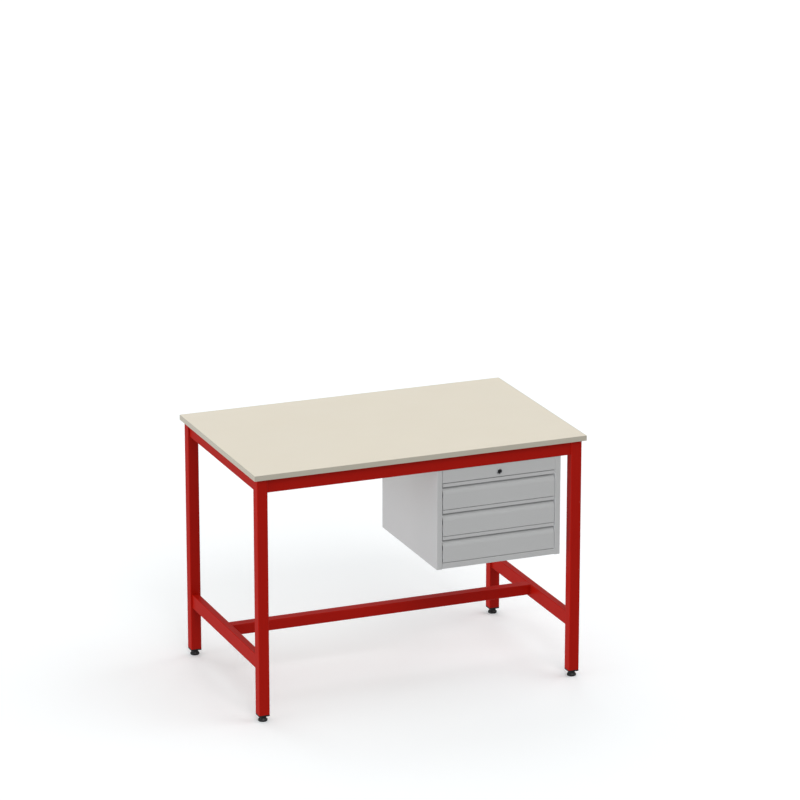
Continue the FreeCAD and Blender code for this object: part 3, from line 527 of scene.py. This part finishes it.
# %% Build and run a geometry tree
def new_tree(name, *sizes):
    """A geometry tree, what its inputs give (a material and named sizes), and its end."""
    tree = bpy.data.node_groups.new(name, "GeometryNodeTree")
    kinds = {"Geometry": "NodeSocketGeometry", "Material": "NodeSocketMaterial"}
    for label in ("Geometry", "Material", *sizes):
        tree.interface.new_socket(label, in_out="INPUT",
                                  socket_type=kinds.get(label, "NodeSocketFloat"))
    tree.interface.new_socket("Geometry", in_out="OUTPUT", socket_type=kinds["Geometry"])
    given = add_node(tree, "NodeGroupInput").outputs
    return tree, given, add_node(tree, "NodeGroupOutput")


def end_tree(tree, given, end, parts, on_points=False):
    """Join the parts, set them on each point if wanted, and make them real and painted."""
    whole = add_node(tree, "GeometryNodeJoinGeometry", {"Geometry": parts})
    if on_points:
        whole = add_node(tree, "GeometryNodeInstanceOnPoints", {
            "Points": given["Geometry"], "Instance": whole.outputs[0]})
    real = add_node(tree, "GeometryNodeRealizeInstances", {"Geometry": whole.outputs[0]})
    painted = add_node(tree, "GeometryNodeSetMaterial", {
        "Geometry": real.outputs[0], "Material": given["Material"]})
    tree.links.new(painted.outputs[0], end.inputs[0])
    print("Tree:", tree.name, "with", len(tree.nodes), "nodes")


def grown(name, tree, points, material, body, nodes, sizes, edges=()):
    """Run a tree on points and edges, and finish the mesh that it makes."""
    mesh = bpy.data.meshes.new(name)
    mesh.from_pydata(points, edges, [])
    obj = bpy.data.objects.new(name, mesh)
    bpy.context.scene.collection.objects.link(obj)
    modifier = obj.modifiers.new("Grow", "NODES")
    modifier.node_group = tree
    values = {"Material": material, **sizes}
    for item in tree.interface.items_tree:
        if item.in_out == "INPUT" and item.name in values:
            modifier[item.identifier] = values[item.name]
    return finish_piece(obj, material, body, nodes)


# %% Rods, heads and nuts inside a tree
def cylinder(tree, radius, depth, sides, base=None, sign=1.0):
    """A cylinder that stands on a height, or hangs below it when sign is -1."""
    column = add_node(tree, "GeometryNodeMeshCylinder", {
        "Vertices": sides, "Radius": radius, "Depth": depth})
    height = add_node(tree, "ShaderNodeMath", {
        0: depth, 1: 0.5 * sign}, operation="MULTIPLY").outputs[0]
    if base is not None:
        height = add_node(tree, "ShaderNodeMath", {0: height, 1: base}, operation="ADD").outputs[0]
    shift = add_node(tree, "ShaderNodeCombineXYZ", {"Z": height})
    return add_node(tree, "GeometryNodeTransform", {
        "Geometry": column.outputs["Mesh"], "Translation": shift.outputs[0]}).outputs[0]


# %% [markdown]
# ### Weld beads
#
# The rails are MIG welded to the legs along their inner and lower edges, where the seams
# don't show. The welder's hand leaves a row of scales about 2 mm apart, under the paint. The
# tree follows each seam with a thin cord and sets a flattened ball on it at every scale.

# %% Weld tree
weld_tree, given, end = new_tree("weld bead", "Radius", "Pitch")
seam = add_node(weld_tree, "GeometryNodeMeshToCurve", {"Mesh": given["Geometry"]})
ring = add_node(weld_tree, "GeometryNodeCurvePrimitiveCircle", {
    "Resolution": 8, "Radius": given["Radius"]})
cord = add_node(weld_tree, "GeometryNodeCurveToMesh", {
    "Curve": seam.outputs[0], "Profile Curve": ring.outputs[0], "Fill Caps": True})
dots = add_node(weld_tree, "GeometryNodeCurveToPoints", {
    "Curve": seam.outputs[0], "Length": given["Pitch"]}, mode="LENGTH")
bead = add_node(weld_tree, "GeometryNodeMeshUVSphere", {
    "Segments": 8, "Rings": 5, "Radius": given["Radius"]})
FLATTENED = (1.25, 1.25, 0.6)
scales = add_node(weld_tree, "GeometryNodeInstanceOnPoints", {
    "Points": dots.outputs["Points"], "Instance": bead.outputs[0],
    "Rotation": dots.outputs["Rotation"], "Scale": FLATTENED})
end_tree(weld_tree, given, end, [cord.outputs[0], scales.outputs[0]])

# %% Weld seams at the rails' ends
SEAM_END = 3 * MM


def seam_lines():
    """Edges along the underside and the inner side of each rail's end."""
    lines = []
    centre = (cad_low + cad_high) / 2
    rails = [(f"top_rail_{side}", "x") for side in ("front", "back")]
    rails += [(f"{kind}_{side}", "y") for kind in ("top_rail", "end_rail")
              for side in SIDES]
    for node, axis in rails:
        low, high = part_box(node)
        run, across = (0, 1) if axis == "x" else (1, 0)
        inner = high[across] if high[across] < centre[across] else low[across]
        outer = low[across] + high[across] - inner
        inset = math.copysign(SEAM_END, inner - outer)
        for along in (low[run], high[run]):
            corner, top, under = Vector(), Vector(), Vector()
            corner[run] = top[run] = under[run] = along
            corner[across] = top[across] = inner
            under[across] = outer + inset
            corner.z = under.z = low.z
            top.z = high.z - SEAM_END
            lines += [(top, corner), (corner, under)]
    low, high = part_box("stretcher")
    for x in (low.x, high.x):
        for y in (low.y, high.y):
            lines.append((Vector((x, y, low.z + SEAM_END)), Vector((x, y, high.z - SEAM_END))))
        lines.append((Vector((x, low.y + SEAM_END, low.z)),
                      Vector((x, high.y - SEAM_END, low.z))))
    return lines


seams = seam_lines()
grown("weld_beads", weld_tree, [point for line in seams for point in line], red_paint,
      "bench", (), {"Radius": 1.3 * MM, "Pitch": 2.0 * MM},
      edges=[(2 * index, 2 * index + 1) for index in range(len(seams))])
print("Weld seams:", len(seams), "triangles so far:", triangles())

# %% [markdown]
# ## The feet
#
# Each leg ends in a square nylon insert with a flange as wide as the tube, and a screw foot
# turns in it. The foot's base is turned as a profile round its axis, because it is round in
# every section. The stud's thread is a spiral swept by Geometry Nodes round a plain core.

# %% Inserts
def middle_of(low, high):
    """The centre of a box, seen from above."""
    return (low.x + high.x) / 2, (low.y + high.y) / 2


def round_hole(outline, centre, radius):
    """A circle with one point facing each point of an outline."""
    arms = [(Vector(point) - Vector(centre)).normalized() for point in outline]
    return [Vector(centre) + arm * radius for arm in arms]


STUD_HOLE = 5.05 * MM
PLUG_INSET = 2.1 * MM
inserts = []
insert_low, insert_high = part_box("foot_inserts")
for corner in CORNERS:
    low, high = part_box(f"leg_{corner}")
    inset = Vector((PLUG_INSET, PLUG_INSET, 0))
    flange = rounded(rectangle(low[:2], high[:2], LEG_CORNER), TUBE_STEPS)
    plug = rounded(rectangle((low + inset)[:2], (high - inset)[:2], 1 * MM), TUBE_STEPS)
    for outline, bottom, top in ((flange, insert_low.z, low.z), (plug, low.z, insert_high.z)):
        hole = round_hole(outline, middle_of(low, high), STUD_HOLE)
        inserts.append(sleeve(outline, hole, "z", bottom, top))
piece("leg_inserts", inserts, black_nylon, "bench", ("foot_inserts",), bevel=0.5 * MM)

# %% Thread tree
thread_tree, given, end = new_tree("screw thread", "Turns", "Height", "Core", "Crest")
helix = add_node(thread_tree, "GeometryNodeCurveSpiral", {
    "Resolution": 20, "Rotations": given["Turns"],
    "Start Radius": given["Core"], "End Radius": given["Core"],
    "Height": given["Height"]})
ridge = add_node(thread_tree, "GeometryNodeCurvePrimitiveCircle", {
    "Resolution": 4, "Radius": given["Crest"]})
coil = add_node(thread_tree, "GeometryNodeCurveToMesh", {
    "Curve": helix.outputs[0], "Profile Curve": ridge.outputs[0], "Fill Caps": True})
core = cylinder(thread_tree, given["Core"], given["Height"], 32)
end_tree(thread_tree, given, end, [coil.outputs[0], core], on_points=True)

# %% Foot bases and studs
THREAD_PITCH = 1.5 * MM
THREAD_CREST = 0.75 * MM


def foot_profile(base_low, base_high, stud_low):
    """Half section of a foot's base: round rim, sloping shoulder, neck and stud socket."""
    radius = (base_high.x - base_low.x) / 2
    neck, socket = 11.5 * MM, 4.3 * MM
    low, high = base_low.z, base_high.z
    rim_top, shoulder_top = low + 6 * MM, low + 12 * MM
    return rounded([
        (0, low, 0), (radius, low, 3 * MM), (radius, rim_top, 0.8 * MM),
        (neck, shoulder_top, 1.2 * MM), (neck, high, 0.8 * MM), (socket, high, 0.3 * MM),
        (socket, stud_low, 0), (0, stud_low, 0)], 5)


for corner in CORNERS:
    body, base, stud = f"foot_{corner}", f"foot_base_{corner}", f"foot_stud_{corner}"
    base_low, base_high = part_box(base)
    stud_low, stud_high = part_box(stud)
    middle = middle_of(base_low, base_high)
    piece(f"foot_pad_{corner}", [lathe(foot_profile(base_low, base_high, stud_low.z), middle,
                                       "z", 72)], black_nylon, body, (base,))
    length = stud_high.z - stud_low.z - 2 * THREAD_CREST
    grown(f"foot_screw_{corner}", thread_tree, [(*middle, stud_low.z + THREAD_CREST)], zinc,
          body, (stud,), {"Turns": length / THREAD_PITCH, "Height": length,
                          "Core": (stud_high.x - stud_low.x) / 2 - THREAD_CREST,
                          "Crest": THREAD_CREST})
print("Feet done, triangles so far:", triangles())

# %% [markdown]
# ## The worktop
#
# The board is chipboard with laminate above and a plain backing below. The ABS strip is
# glued round it and milled flush, and the mill leaves a small round along both edges and a
# hair-fine seam beside the laminate. The core and the backing keep their CAD shape.

# %% Worktop pieces
sheet_low, sheet_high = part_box("worktop_laminate")
edge_low, edge_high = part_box("worktop_edging")
SEAM = 0.15 * MM
sheet = rounded(rectangle(sheet_low[:2], sheet_high[:2]))
piece("worktop_top_sheet", [prism(sheet, "z", sheet_low.z, sheet_high.z)], laminate, "bench",
      ("worktop_laminate",), bevel=SEAM)
outside = rounded(rectangle(edge_low[:2], edge_high[:2], 1.0 * MM), TUBE_STEPS)
# The inner corners are sharp, but the sleeve needs as many points inside as outside.
inside = rounded(rectangle(sheet_low[:2], sheet_high[:2], 0.01 * MM), TUBE_STEPS)
piece("worktop_edge_strip", [sleeve(outside, inside, "z", edge_low.z, edge_high.z)],
      edge_strip, "bench", ("worktop_edging",), bevel=0.6 * MM, segments=3)
for node, material in (("worktop_core", chipboard), ("worktop_backing", backing)):
    frame["nodes"][node].data.materials.clear()
    frame["nodes"][node].data.materials.append(material)

# %% [markdown]
# ### Screws through the tabs
#
# Eight small angles welded to the rails hold the board by one screw each. A pan head with a
# cross recess is a dome with a cross cut out of it. It is made once in the tree and set on
# eight points that face down.

# %% Screw tree
screw_tree, given, end = new_tree("pan head screw", "Head radius", "Head height",
                                  "Shank radius", "Shank length")
ball = add_node(screw_tree, "GeometryNodeMeshUVSphere", {
    "Segments": 24, "Rings": 12, "Radius": given["Head radius"]})
squash = add_node(screw_tree, "ShaderNodeMath", {
    0: given["Head height"], 1: given["Head radius"]}, operation="DIVIDE")
flat_scale = add_node(screw_tree, "ShaderNodeCombineXYZ", {
    "X": 1.0, "Y": 1.0, "Z": squash.outputs[0]})
dome = add_node(screw_tree, "GeometryNodeTransform", {
    "Geometry": ball.outputs["Mesh"], "Scale": flat_scale.outputs[0]})
BLOCK, ARM, ARM_WIDTH, ARM_DEPTH, CROSS_DROP = 20 * MM, 5 * MM, 1 * MM, 3 * MM, 2.5 * MM
block = add_node(screw_tree, "GeometryNodeMeshCube", {"Size": (BLOCK, BLOCK, BLOCK)})
upper_half = add_node(screw_tree, "GeometryNodeTransform", {
    "Geometry": block.outputs["Mesh"], "Translation": (0, 0, BLOCK / 2)})
arm_x = add_node(screw_tree, "GeometryNodeMeshCube", {"Size": (ARM, ARM_WIDTH, ARM_DEPTH)})
arm_y = add_node(screw_tree, "GeometryNodeMeshCube", {"Size": (ARM_WIDTH, ARM, ARM_DEPTH)})
cross = add_node(screw_tree, "GeometryNodeMeshBoolean", {
    "Mesh 2": [arm_x.outputs["Mesh"], arm_y.outputs["Mesh"]]}, operation="UNION", solver="EXACT")
recess = add_node(screw_tree, "GeometryNodeTransform", {
    "Geometry": cross.outputs["Mesh"], "Translation": (0, 0, -CROSS_DROP)})
head = add_node(screw_tree, "GeometryNodeMeshBoolean", {
    "Mesh 1": dome.outputs[0], "Mesh 2": [upper_half.outputs[0], recess.outputs[0]]},
    operation="DIFFERENCE", solver="EXACT")
shank = cylinder(screw_tree, given["Shank radius"], given["Shank length"], 16)
end_tree(screw_tree, given, end, [head.outputs["Mesh"], shank], on_points=True)


# %% Find the separate solids of a CAD node
def solid_boxes(node):
    """Lowest and highest corner of each separate solid in a CAD node."""
    built = bmesh.new()
    built.from_mesh(frame["nodes"][node].data)
    bmesh.ops.remove_doubles(built, verts=built.verts, dist=SAME_PLACE)
    boxes, seen = [], set()
    for first in built.verts:
        if first in seen:
            continue
        found, waiting = [], [first]
        seen.add(first)
        while waiting:
            vertex = waiting.pop()
            found.append(vertex.co.copy())
            for edge in vertex.link_edges:
                other = edge.other_vert(vertex)
                if other not in seen:
                    seen.add(other)
                    waiting.append(other)
        boxes.append((Vector([min(c[i] for c in found) for i in range(3)]),
                      Vector([max(c[i] for c in found) for i in range(3)])))
    built.free()
    return boxes


# %% Tabs and screws
softened("worktop_tabs", red_paint, 0.5 * MM)
SCREW_HEAD = 2.5 * MM
screw_boxes = solid_boxes("worktop_screws")
screw_points = [(*middle_of(low, high), low.z + SCREW_HEAD) for low, high in screw_boxes]
screw_low, screw_high = screw_boxes[0]
grown("worktop_pan_screws", screw_tree, screw_points, zinc, "bench", ("worktop_screws",),
      {"Head radius": (screw_high.x - screw_low.x) / 2, "Head height": SCREW_HEAD,
       "Shank radius": 2.25 * MM, "Shank length": screw_high.z - screw_low.z - SCREW_HEAD})
print("Screws:", len(screw_points), "triangles so far:", triangles())

# %% [markdown]
# ## The cabinet
#
# The cabinet is folded from 1 mm sheet. The sides are bent round at the front into a stile
# and back into the cabinet, so that no sharp edge faces the hand. Each part is drawn as the
# line through the middle of the sheet, which is how a sheet metal worker draws it. The
# outline, with its bends, is worked out from that line.

# %% Sheet sizes
SHEET = 1.0 * MM
HALF = SHEET / 2
BEND = 1.0 * MM
EDGE = 0.2 * MM
STILE_RETURN = 40 * MM
FOLD = 12 * MM


def folded(path, axis, low, high, thickness=SHEET, bend=BEND):
    """A folded sheet as a shell, from its middle line and its run."""
    return prism(rounded(sheet_outline(path, thickness, bend)), axis, low, high)


# %% Sides of the cabinet
for side in SIDES:
    low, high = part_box(f"cabinet_side_{side}")
    faces = [low.x + HALF, high.x - HALF]
    outer, inner = faces if side == "left" else faces[::-1]
    front = low.y + HALF
    path = [(outer, high.y), (outer, front), (inner, front), (inner, low.y + STILE_RETURN)]
    piece(f"cabinet_side_sheet_{side}", [folded(path, "z", low.z, high.z)], grey_paint,
          "bench", (f"cabinet_side_{side}",), bevel=EDGE)

# %% Bottom pan, top and back
pan_low, pan_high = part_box("cabinet_bottom")
fascia_low, fascia_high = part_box("cabinet_fascia")
notch = pan_low.y + STILE_RETURN + 1 * MM
rail_path = [(notch, pan_low.z + HALF), (pan_low.y + HALF, pan_low.z + HALF),
             (pan_low.y + HALF, pan_high.z - HALF), (pan_low.y + FOLD, pan_high.z - HALF)]
pan_floor = [(notch, pan_low.z + HALF), (pan_high.y, pan_low.z + HALF)]
piece("cabinet_pan",
      [folded(rail_path, "x", fascia_low.x, fascia_high.x),
       folded(pan_floor, "x", pan_low.x, pan_high.x)],
      grey_paint, "bench", ("cabinet_bottom",), bevel=EDGE)
softened("cabinet_top", grey_paint, EDGE)
softened("cabinet_back", grey_paint, EDGE)

# %% [markdown]
# ### Front panel with the lock's hole
#
# The panel above the drawers is folded back along its lower edge. The hole for the lock is
# cut with a boolean, as a punch would do it.

# %% Front panel
lock_low, lock_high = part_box("lock_housing")
lock_centre = ((lock_low.x + lock_high.x) / 2, (lock_low.z + lock_high.z) / 2)
BARREL = 9 * MM
panel_path = [(fascia_low.y + FOLD, fascia_low.z + HALF),
              (fascia_low.y + HALF, fascia_low.z + HALF), (fascia_low.y + HALF, fascia_high.z)]
panel = make_object("cabinet_front_panel",
                    [folded(panel_path, "x", fascia_low.x, fascia_high.x)])
before, behind = fascia_low.y - 5 * MM, fascia_low.y + 5 * MM
cut_away(panel, lathe([(0, before), (BARREL, before), (BARREL, behind), (0, behind)],
                      lock_centre, "y", 48))
finish_piece(panel, grey_paint, "bench", ("cabinet_fascia",), bevel=EDGE)

# %% [markdown]
# ### Posts, hanging channels and runners
#
# Two posts at the back carry the runners, and two channels across the frame carry the
# cabinet. The runners are C sections with their openings facing the drawers, and each
# drawer's own rail is a smaller C that slides in them on nylon glides.

# %% Posts and channels
posts = []
for low, high in solid_boxes("runner_posts"):
    left_hand = low.x < lock_centre[0]
    web = high.x - HALF if left_hand else low.x + HALF
    wall = low.x if left_hand else high.x
    path = [(wall, high.y - HALF), (web, high.y - HALF), (web, low.y)]
    posts.append(folded(path, "z", low.z, high.z))
piece("runner_post_angles", posts, grey_paint, "bench", ("runner_posts",), bevel=EDGE)

HANGER_PLATE = 2 * MM
half_plate = HANGER_PLATE / 2
for side in SIDES:
    low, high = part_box(f"hanger_{side}")
    path = [(low.x + half_plate, high.z), (low.x + half_plate, low.z + half_plate),
            (high.x - half_plate, low.z + half_plate), (high.x - half_plate, high.z)]
    piece(f"hanging_channel_{side}", [folded(path, "y", low.y, high.y, HANGER_PLATE, 2 * MM)],
          red_paint, "bench", (f"hanger_{side}",), bevel=0.3 * MM)

# %% Runners and drawer rails
RUNNER_PLATE = 1.2 * MM


def c_section(low, high, opens_right):
    """A C section in a box, open to the right or to the left."""
    half_plate = RUNNER_PLATE / 2
    web, mouth = (low.x + half_plate, high.x) if opens_right else (high.x - half_plate, low.x)
    bottom, top = low.z + half_plate, high.z - half_plate
    path = [(mouth, bottom), (web, bottom), (web, top), (mouth, top)]
    return folded(path, "y", low.y, high.y, RUNNER_PLATE, 0.8 * MM)


for side in SIDES:
    shells = [c_section(low, high, side == "left")
              for low, high in solid_boxes(f"runners_{side}")]
    piece(f"runner_channels_{side}", shells, zinc, "bench", (f"runners_{side}",), bevel=EDGE)
for level in LEVELS:
    shells = [c_section(low, high, low.x > lock_centre[0])
              for low, high in solid_boxes(f"drawer_rails_{level}")]
    piece(f"drawer_rail_pair_{level}", shells, zinc, f"drawer_{level}",
          (f"drawer_rails_{level}",), bevel=EDGE)
    softened(f"drawer_glides_{level}", white_nylon, 0.8 * MM)
softened("runner_glides", white_nylon, 0.8 * MM)
print("Cabinet done, triangles so far:", triangles())

# %% [markdown]
# ### Bolts that hold the cabinet
#
# Four bolts go up through the cabinet's top into the channels. The node tree makes a round
# head with a hexagon socket below the sheet, a shank, and a hexagon nut above.

# %% Bolt tree
BOLT_HEAD = 3.3 * MM
HEX_RADIUS, HEX_HEIGHT = 2.9 * MM, 4 * MM
bolt_tree, given, end = new_tree("socket bolt and nut", "Head radius", "Head height",
                                 "Shank radius", "Shank length", "Nut radius", "Nut height",
                                 "Grip")
head = cylinder(bolt_tree, given["Head radius"], given["Head height"], 32, sign=-1.0)
socket = add_node(bolt_tree, "GeometryNodeMeshCylinder", {
    "Vertices": 6, "Radius": HEX_RADIUS, "Depth": HEX_HEIGHT})
socket_down = add_node(bolt_tree, "GeometryNodeTransform", {
    "Geometry": socket.outputs["Mesh"], "Translation": (0, 0, -BOLT_HEAD)})
bolt_head = add_node(bolt_tree, "GeometryNodeMeshBoolean", {
    "Mesh 1": head, "Mesh 2": socket_down.outputs[0]}, operation="DIFFERENCE", solver="EXACT")
shank = cylinder(bolt_tree, given["Shank radius"], given["Shank length"], 24)
nut = cylinder(bolt_tree, given["Nut radius"], given["Nut height"], 6, base=given["Grip"])
end_tree(bolt_tree, given, end, [bolt_head.outputs["Mesh"], shank, nut], on_points=True)

# %% Bolts and nuts
# The nuts are solids of their own, above the sheet, and the tree makes them from the bolts.
bolt_boxes = [box for box in solid_boxes("hanger_bolts") if box[0].z < fascia_high.z]
bolt_points = [(*middle_of(low, high), low.z + BOLT_HEAD) for low, high in bolt_boxes]
bolt_low, bolt_high = bolt_boxes[0]
grown("hanging_bolts", bolt_tree, bolt_points, zinc, "bench", ("hanger_bolts",),
      {"Head radius": (bolt_high.x - bolt_low.x) / 2, "Head height": BOLT_HEAD,
       "Shank radius": 3 * MM, "Shank length": bolt_high.z - bolt_low.z - BOLT_HEAD,
       "Nut radius": 5.8 * MM, "Nut height": 5 * MM, "Grip": SHEET + HANGER_PLATE})
print("Bolts:", len(bolt_boxes), "triangles so far:", triangles())

# %% [markdown]
# ## The drawers
#
# A drawer's front is one sheet. From its lower edge it goes up flat, curves back in a large
# radius, rises behind the finger groove and comes forward to a pull lip, where the sheet is
# folded double. It could be sculpted, but the section is exact, so it is drawn as an outline
# and run from side to side. The large curve gets many short steps so that it shades smooth.

# %% Section of a drawer front
LIP_HEIGHT = 11.5 * MM
LIP = 2 * MM
GROOVE = 17.6 * MM
FACE_RADIUS = 33 * MM
ARC_STEPS = 28


def front_section(low, high):
    """The outline of a drawer front: depth behind its face, and height."""
    face, bottom, top = low.y, low.z, high.z
    groove, back = face + GROOVE, face + GROOVE + SHEET
    groove_low = top - LIP_HEIGHT
    sweep = math.acos((FACE_RADIUS - GROOVE) / FACE_RADIUS)
    curve_low = groove_low - FACE_RADIUS * math.sin(sweep)

    def curve(radius, rise):
        """Points up the round face, from the flat to the groove."""
        return [(face + FACE_RADIUS - radius * math.cos(rise * i / ARC_STEPS),
                 curve_low + radius * math.sin(rise * i / ARC_STEPS), 0.0)
                for i in range(ARC_STEPS + 1)]

    outside = curve(FACE_RADIUS, sweep)
    outside[-1] = (*outside[-1][:2], 0.8 * MM)
    inner_radius = FACE_RADIUS - SHEET
    inside = curve(inner_radius, math.acos((FACE_RADIUS - GROOVE - SHEET) / inner_radius))
    return rounded([(face, bottom, 0.5 * MM)] + outside + [
        (groove, top - SHEET, 0.6 * MM), (face + LIP, top - SHEET, 0.3 * MM),
        (face + LIP, groove_low, 0.95 * MM), (face, groove_low, 0.95 * MM),
        (face, top, 0.6 * MM), (back, top, 1.6 * MM)] + inside[::-1] + [
        (face + SHEET, bottom + SHEET, 1 * MM), (high.y, bottom + SHEET, 0), (high.y, bottom, 0)])


# %% [markdown]
# The tray behind the front is a box of the same sheet: floor and sides are one fold, with
# the long edges turned in, and the two ends are welded in.

# %% Fronts and trays
RIM = 6 * MM


def tray_shells(low, high):
    """Floor and sides with rims as one folded sheet, and two flat ends."""
    left, right = low.x + HALF, high.x - HALF
    bottom, top = low.z + HALF, high.z - HALF
    path = [(left + RIM, top), (left, top), (left, bottom), (right, bottom), (right, top),
            (right - RIM, top)]
    shells = [folded(path, "y", low.y, high.y)]
    end = rounded(rectangle((low.x + SHEET, low.z + SHEET), (high.x - SHEET, high.z - SHEET)))
    for y in (low.y, high.y - SHEET):
        shells.append(prism(end, "y", y, y + SHEET))
    return shells


for level in LEVELS:
    body = f"drawer_{level}"
    low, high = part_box(f"drawer_front_{level}")
    piece(f"drawer_face_{level}", [prism(front_section(low, high), "x", low.x, high.x)],
          grey_paint, body, (f"drawer_front_{level}",), bevel=EDGE)
    low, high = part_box(f"drawer_tray_{level}")
    piece(f"drawer_box_{level}", tray_shells(low, high), grey_paint, body,
          (f"drawer_tray_{level}",), bevel=EDGE)
    softened(f"drawer_catch_{level}", zinc, EDGE)
print("Drawers done, triangles so far:", triangles())

# %% [markdown]
# ## The lock
#
# A lock of this kind is a 19 mm barrel with a chromed bezel. The bezel has a raised, rounded
# rim and a shallow cone that leads in to the plug, and the rim mirrors the room as a bright
# crescent. It is turned on a lathe in real life, and here too. The plug gets its keyhole
# with a boolean.

# %% Bezel and barrel
face, barrel_end = lock_low.y, lock_high.y
panel_face = fascia_low.y
rim = (lock_high.x - lock_low.x) / 2
bore = 7.05 * MM
bezel = rounded([
    (bore, face + 1.4 * MM, 0.2 * MM), (bore + 0.5 * MM, face + 0.2 * MM, 0.5 * MM),
    (rim - 1.6 * MM, face, 1.2 * MM), (rim, face + 1.8 * MM, 1.5 * MM),
    (rim, panel_face, 0.1 * MM), (BARREL, panel_face, 0), (BARREL, barrel_end, 0.4 * MM),
    (bore, barrel_end, 0.2 * MM)], 5)
piece("lock_bezel", [lathe(bezel, lock_centre, "y", 72)], chrome, "bench", ("lock_housing",))
softened("lock_nut", zinc, 0.3 * MM)

# %% Plug with its keyhole
plug_low, plug_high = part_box("lock_plug")
plug_radius = (plug_high.x - plug_low.x) / 2
plug_section = rounded([(0, plug_low.y, 0), (plug_radius, plug_low.y, 0.5 * MM),
                        (plug_radius, plug_high.y, 0), (0, plug_high.y, 0)])
plug = make_object("lock_plug_turned", [lathe(plug_section, lock_centre, "y")])
KEY_WIDTH, KEY_HEIGHT, KEY_DEPTH = 1.8 * MM, 8 * MM, 12 * MM
x, z = lock_centre
keyhole = rounded(rectangle((x - KEY_WIDTH / 2, z - KEY_HEIGHT / 2),
                            (x + KEY_WIDTH / 2, z + KEY_HEIGHT / 2), 0.85 * MM))
cut_away(plug, prism(keyhole, "y", plug_low.y - KEY_DEPTH, plug_low.y + KEY_DEPTH))
finish_piece(plug, nickel, "lock", ("lock_plug",), bevel=0.12 * MM)

# %% Linkage behind the lock
softened("lock_rod", zinc, 0.2 * MM)
softened("lock_bar", zinc, 0.2 * MM)
softened("lock_guides", zinc, 0.3 * MM)
print("Lock done, triangles in all:", triangles())

# %% [markdown]
# ## Floor, light and camera
#
# The bench stands in a plain white studio. The floor reaches far past it, so it is also the
# background, and it glows a little, like a light table, which keeps the shadows pale. It
# sends no light of its own to the bench. Round it is a pale room with a brighter ceiling. A
# ring of wide, distant lamps gives the rest. The left is the brightest, and a part of it
# casts no shadow, so the sides under the board stay light. Those in front, on the right and
# behind come from above, and a very wide one below stands for what a pale floor returns.

# %% Floor
FLOOR_REACH = 60
FLOOR_THICKNESS = 0.05
floor_material = new_material("studio_floor", "floor", "#f2f5f6", 0.9)
floor_shader = floor_material.node_tree.nodes["Principled BSDF"]
floor_shader.inputs["Specular IOR Level"].default_value = 0.0
floor_shader.inputs["Emission Color"].default_value = linear("#ffffff")
floor_shader.inputs["Emission Strength"].default_value = 0.15
floor_outline = rectangle((-FLOOR_REACH, -FLOOR_REACH), (FLOOR_REACH, FLOOR_REACH))
floor = make_object("studio_floor", [prism(rounded(floor_outline), "z", -FLOOR_THICKNESS, 0)])
floor.data.materials.append(floor_material)
floor.visible_diffuse = False
floor.visible_glossy = False
floor.visible_shadow = False

# %% Pale room with a brighter ceiling
ROOM, CEILING = 0.25, 0.6
CEILING_STARTS, CEILING_FULL = 0.35, 0.8
world = bpy.data.worlds.new("studio")
bpy.context.scene.world = world
world.use_nodes = True
direction = add_node(world.node_tree, "ShaderNodeTexCoord")
height = add_node(world.node_tree, "ShaderNodeSeparateXYZ", {
    "Vector": direction.outputs["Generated"]})
ceiling = add_node(world.node_tree, "ShaderNodeMapRange", {
    "Value": height.outputs["Z"], "From Min": CEILING_STARTS, "From Max": CEILING_FULL,
    "To Min": ROOM, "To Max": CEILING}, interpolation_type="SMOOTHSTEP")
background = world.node_tree.nodes["Background"]
background.inputs["Color"].default_value = (1, 1, 1, 1)
world.node_tree.links.new(ceiling.outputs["Result"], background.inputs["Strength"])


# %% Lamps
LEFT_WHITE = "#f8fbff"


def soft_lamp(name, strength, spread, azimuth, elevation, colour="#ffffff", mirrored=False,
              shadow=True):
    """A wide, distant lamp that shines from an azimuth and an elevation, in degrees."""
    lamp = bpy.data.lights.new(name, "SUN")
    lamp.energy = strength
    lamp.color = linear(colour)[:3]
    lamp.angle = math.radians(spread)
    lamp.use_shadow = shadow
    obj = bpy.data.objects.new(name, lamp)
    bpy.context.scene.collection.objects.link(obj)
    turn, rise = math.radians(azimuth), math.radians(elevation)
    source = Vector((math.sin(turn) * math.cos(rise), -math.cos(turn) * math.cos(rise),
                     math.sin(rise)))
    obj.rotation_euler = source.to_track_quat("Z", "Y").to_euler()
    obj.visible_glossy = mirrored
    print("Lamp:", name, strength)


soft_lamp("left_light", strength=1.05, spread=38, azimuth=-90, elevation=4, colour=LEFT_WHITE,
          mirrored=True)
soft_lamp("left_fill", strength=0.74, spread=38, azimuth=-90, elevation=0, colour=LEFT_WHITE,
          shadow=False)
soft_lamp("front_light", strength=0.88, spread=30, azimuth=-5, elevation=40, mirrored=True)
soft_lamp("right_light", strength=0.65, spread=50, azimuth=80, elevation=50, mirrored=True)
soft_lamp("back_light", strength=0.6, spread=50, azimuth=180, elevation=45)
soft_lamp("floor_return", strength=1.3, spread=110, azimuth=0, elevation=-90)

# %% Camera
camera_data = bpy.data.cameras.new("camera")
camera_data.lens = 179.32
camera_data.sensor_width = 36
camera_data.clip_end = 500
camera = bpy.data.objects.new("camera", camera_data)
bpy.context.scene.collection.objects.link(camera)
camera.location = (-4.8522, -12.0794, 4.9006)
forward = Vector((0.361088, 0.886432, -0.289574))
camera.rotation_euler = forward.to_track_quat("-Z", "Y").to_euler()
bpy.context.scene.camera = camera
bpy.context.scene.view_settings.view_transform = "Standard"
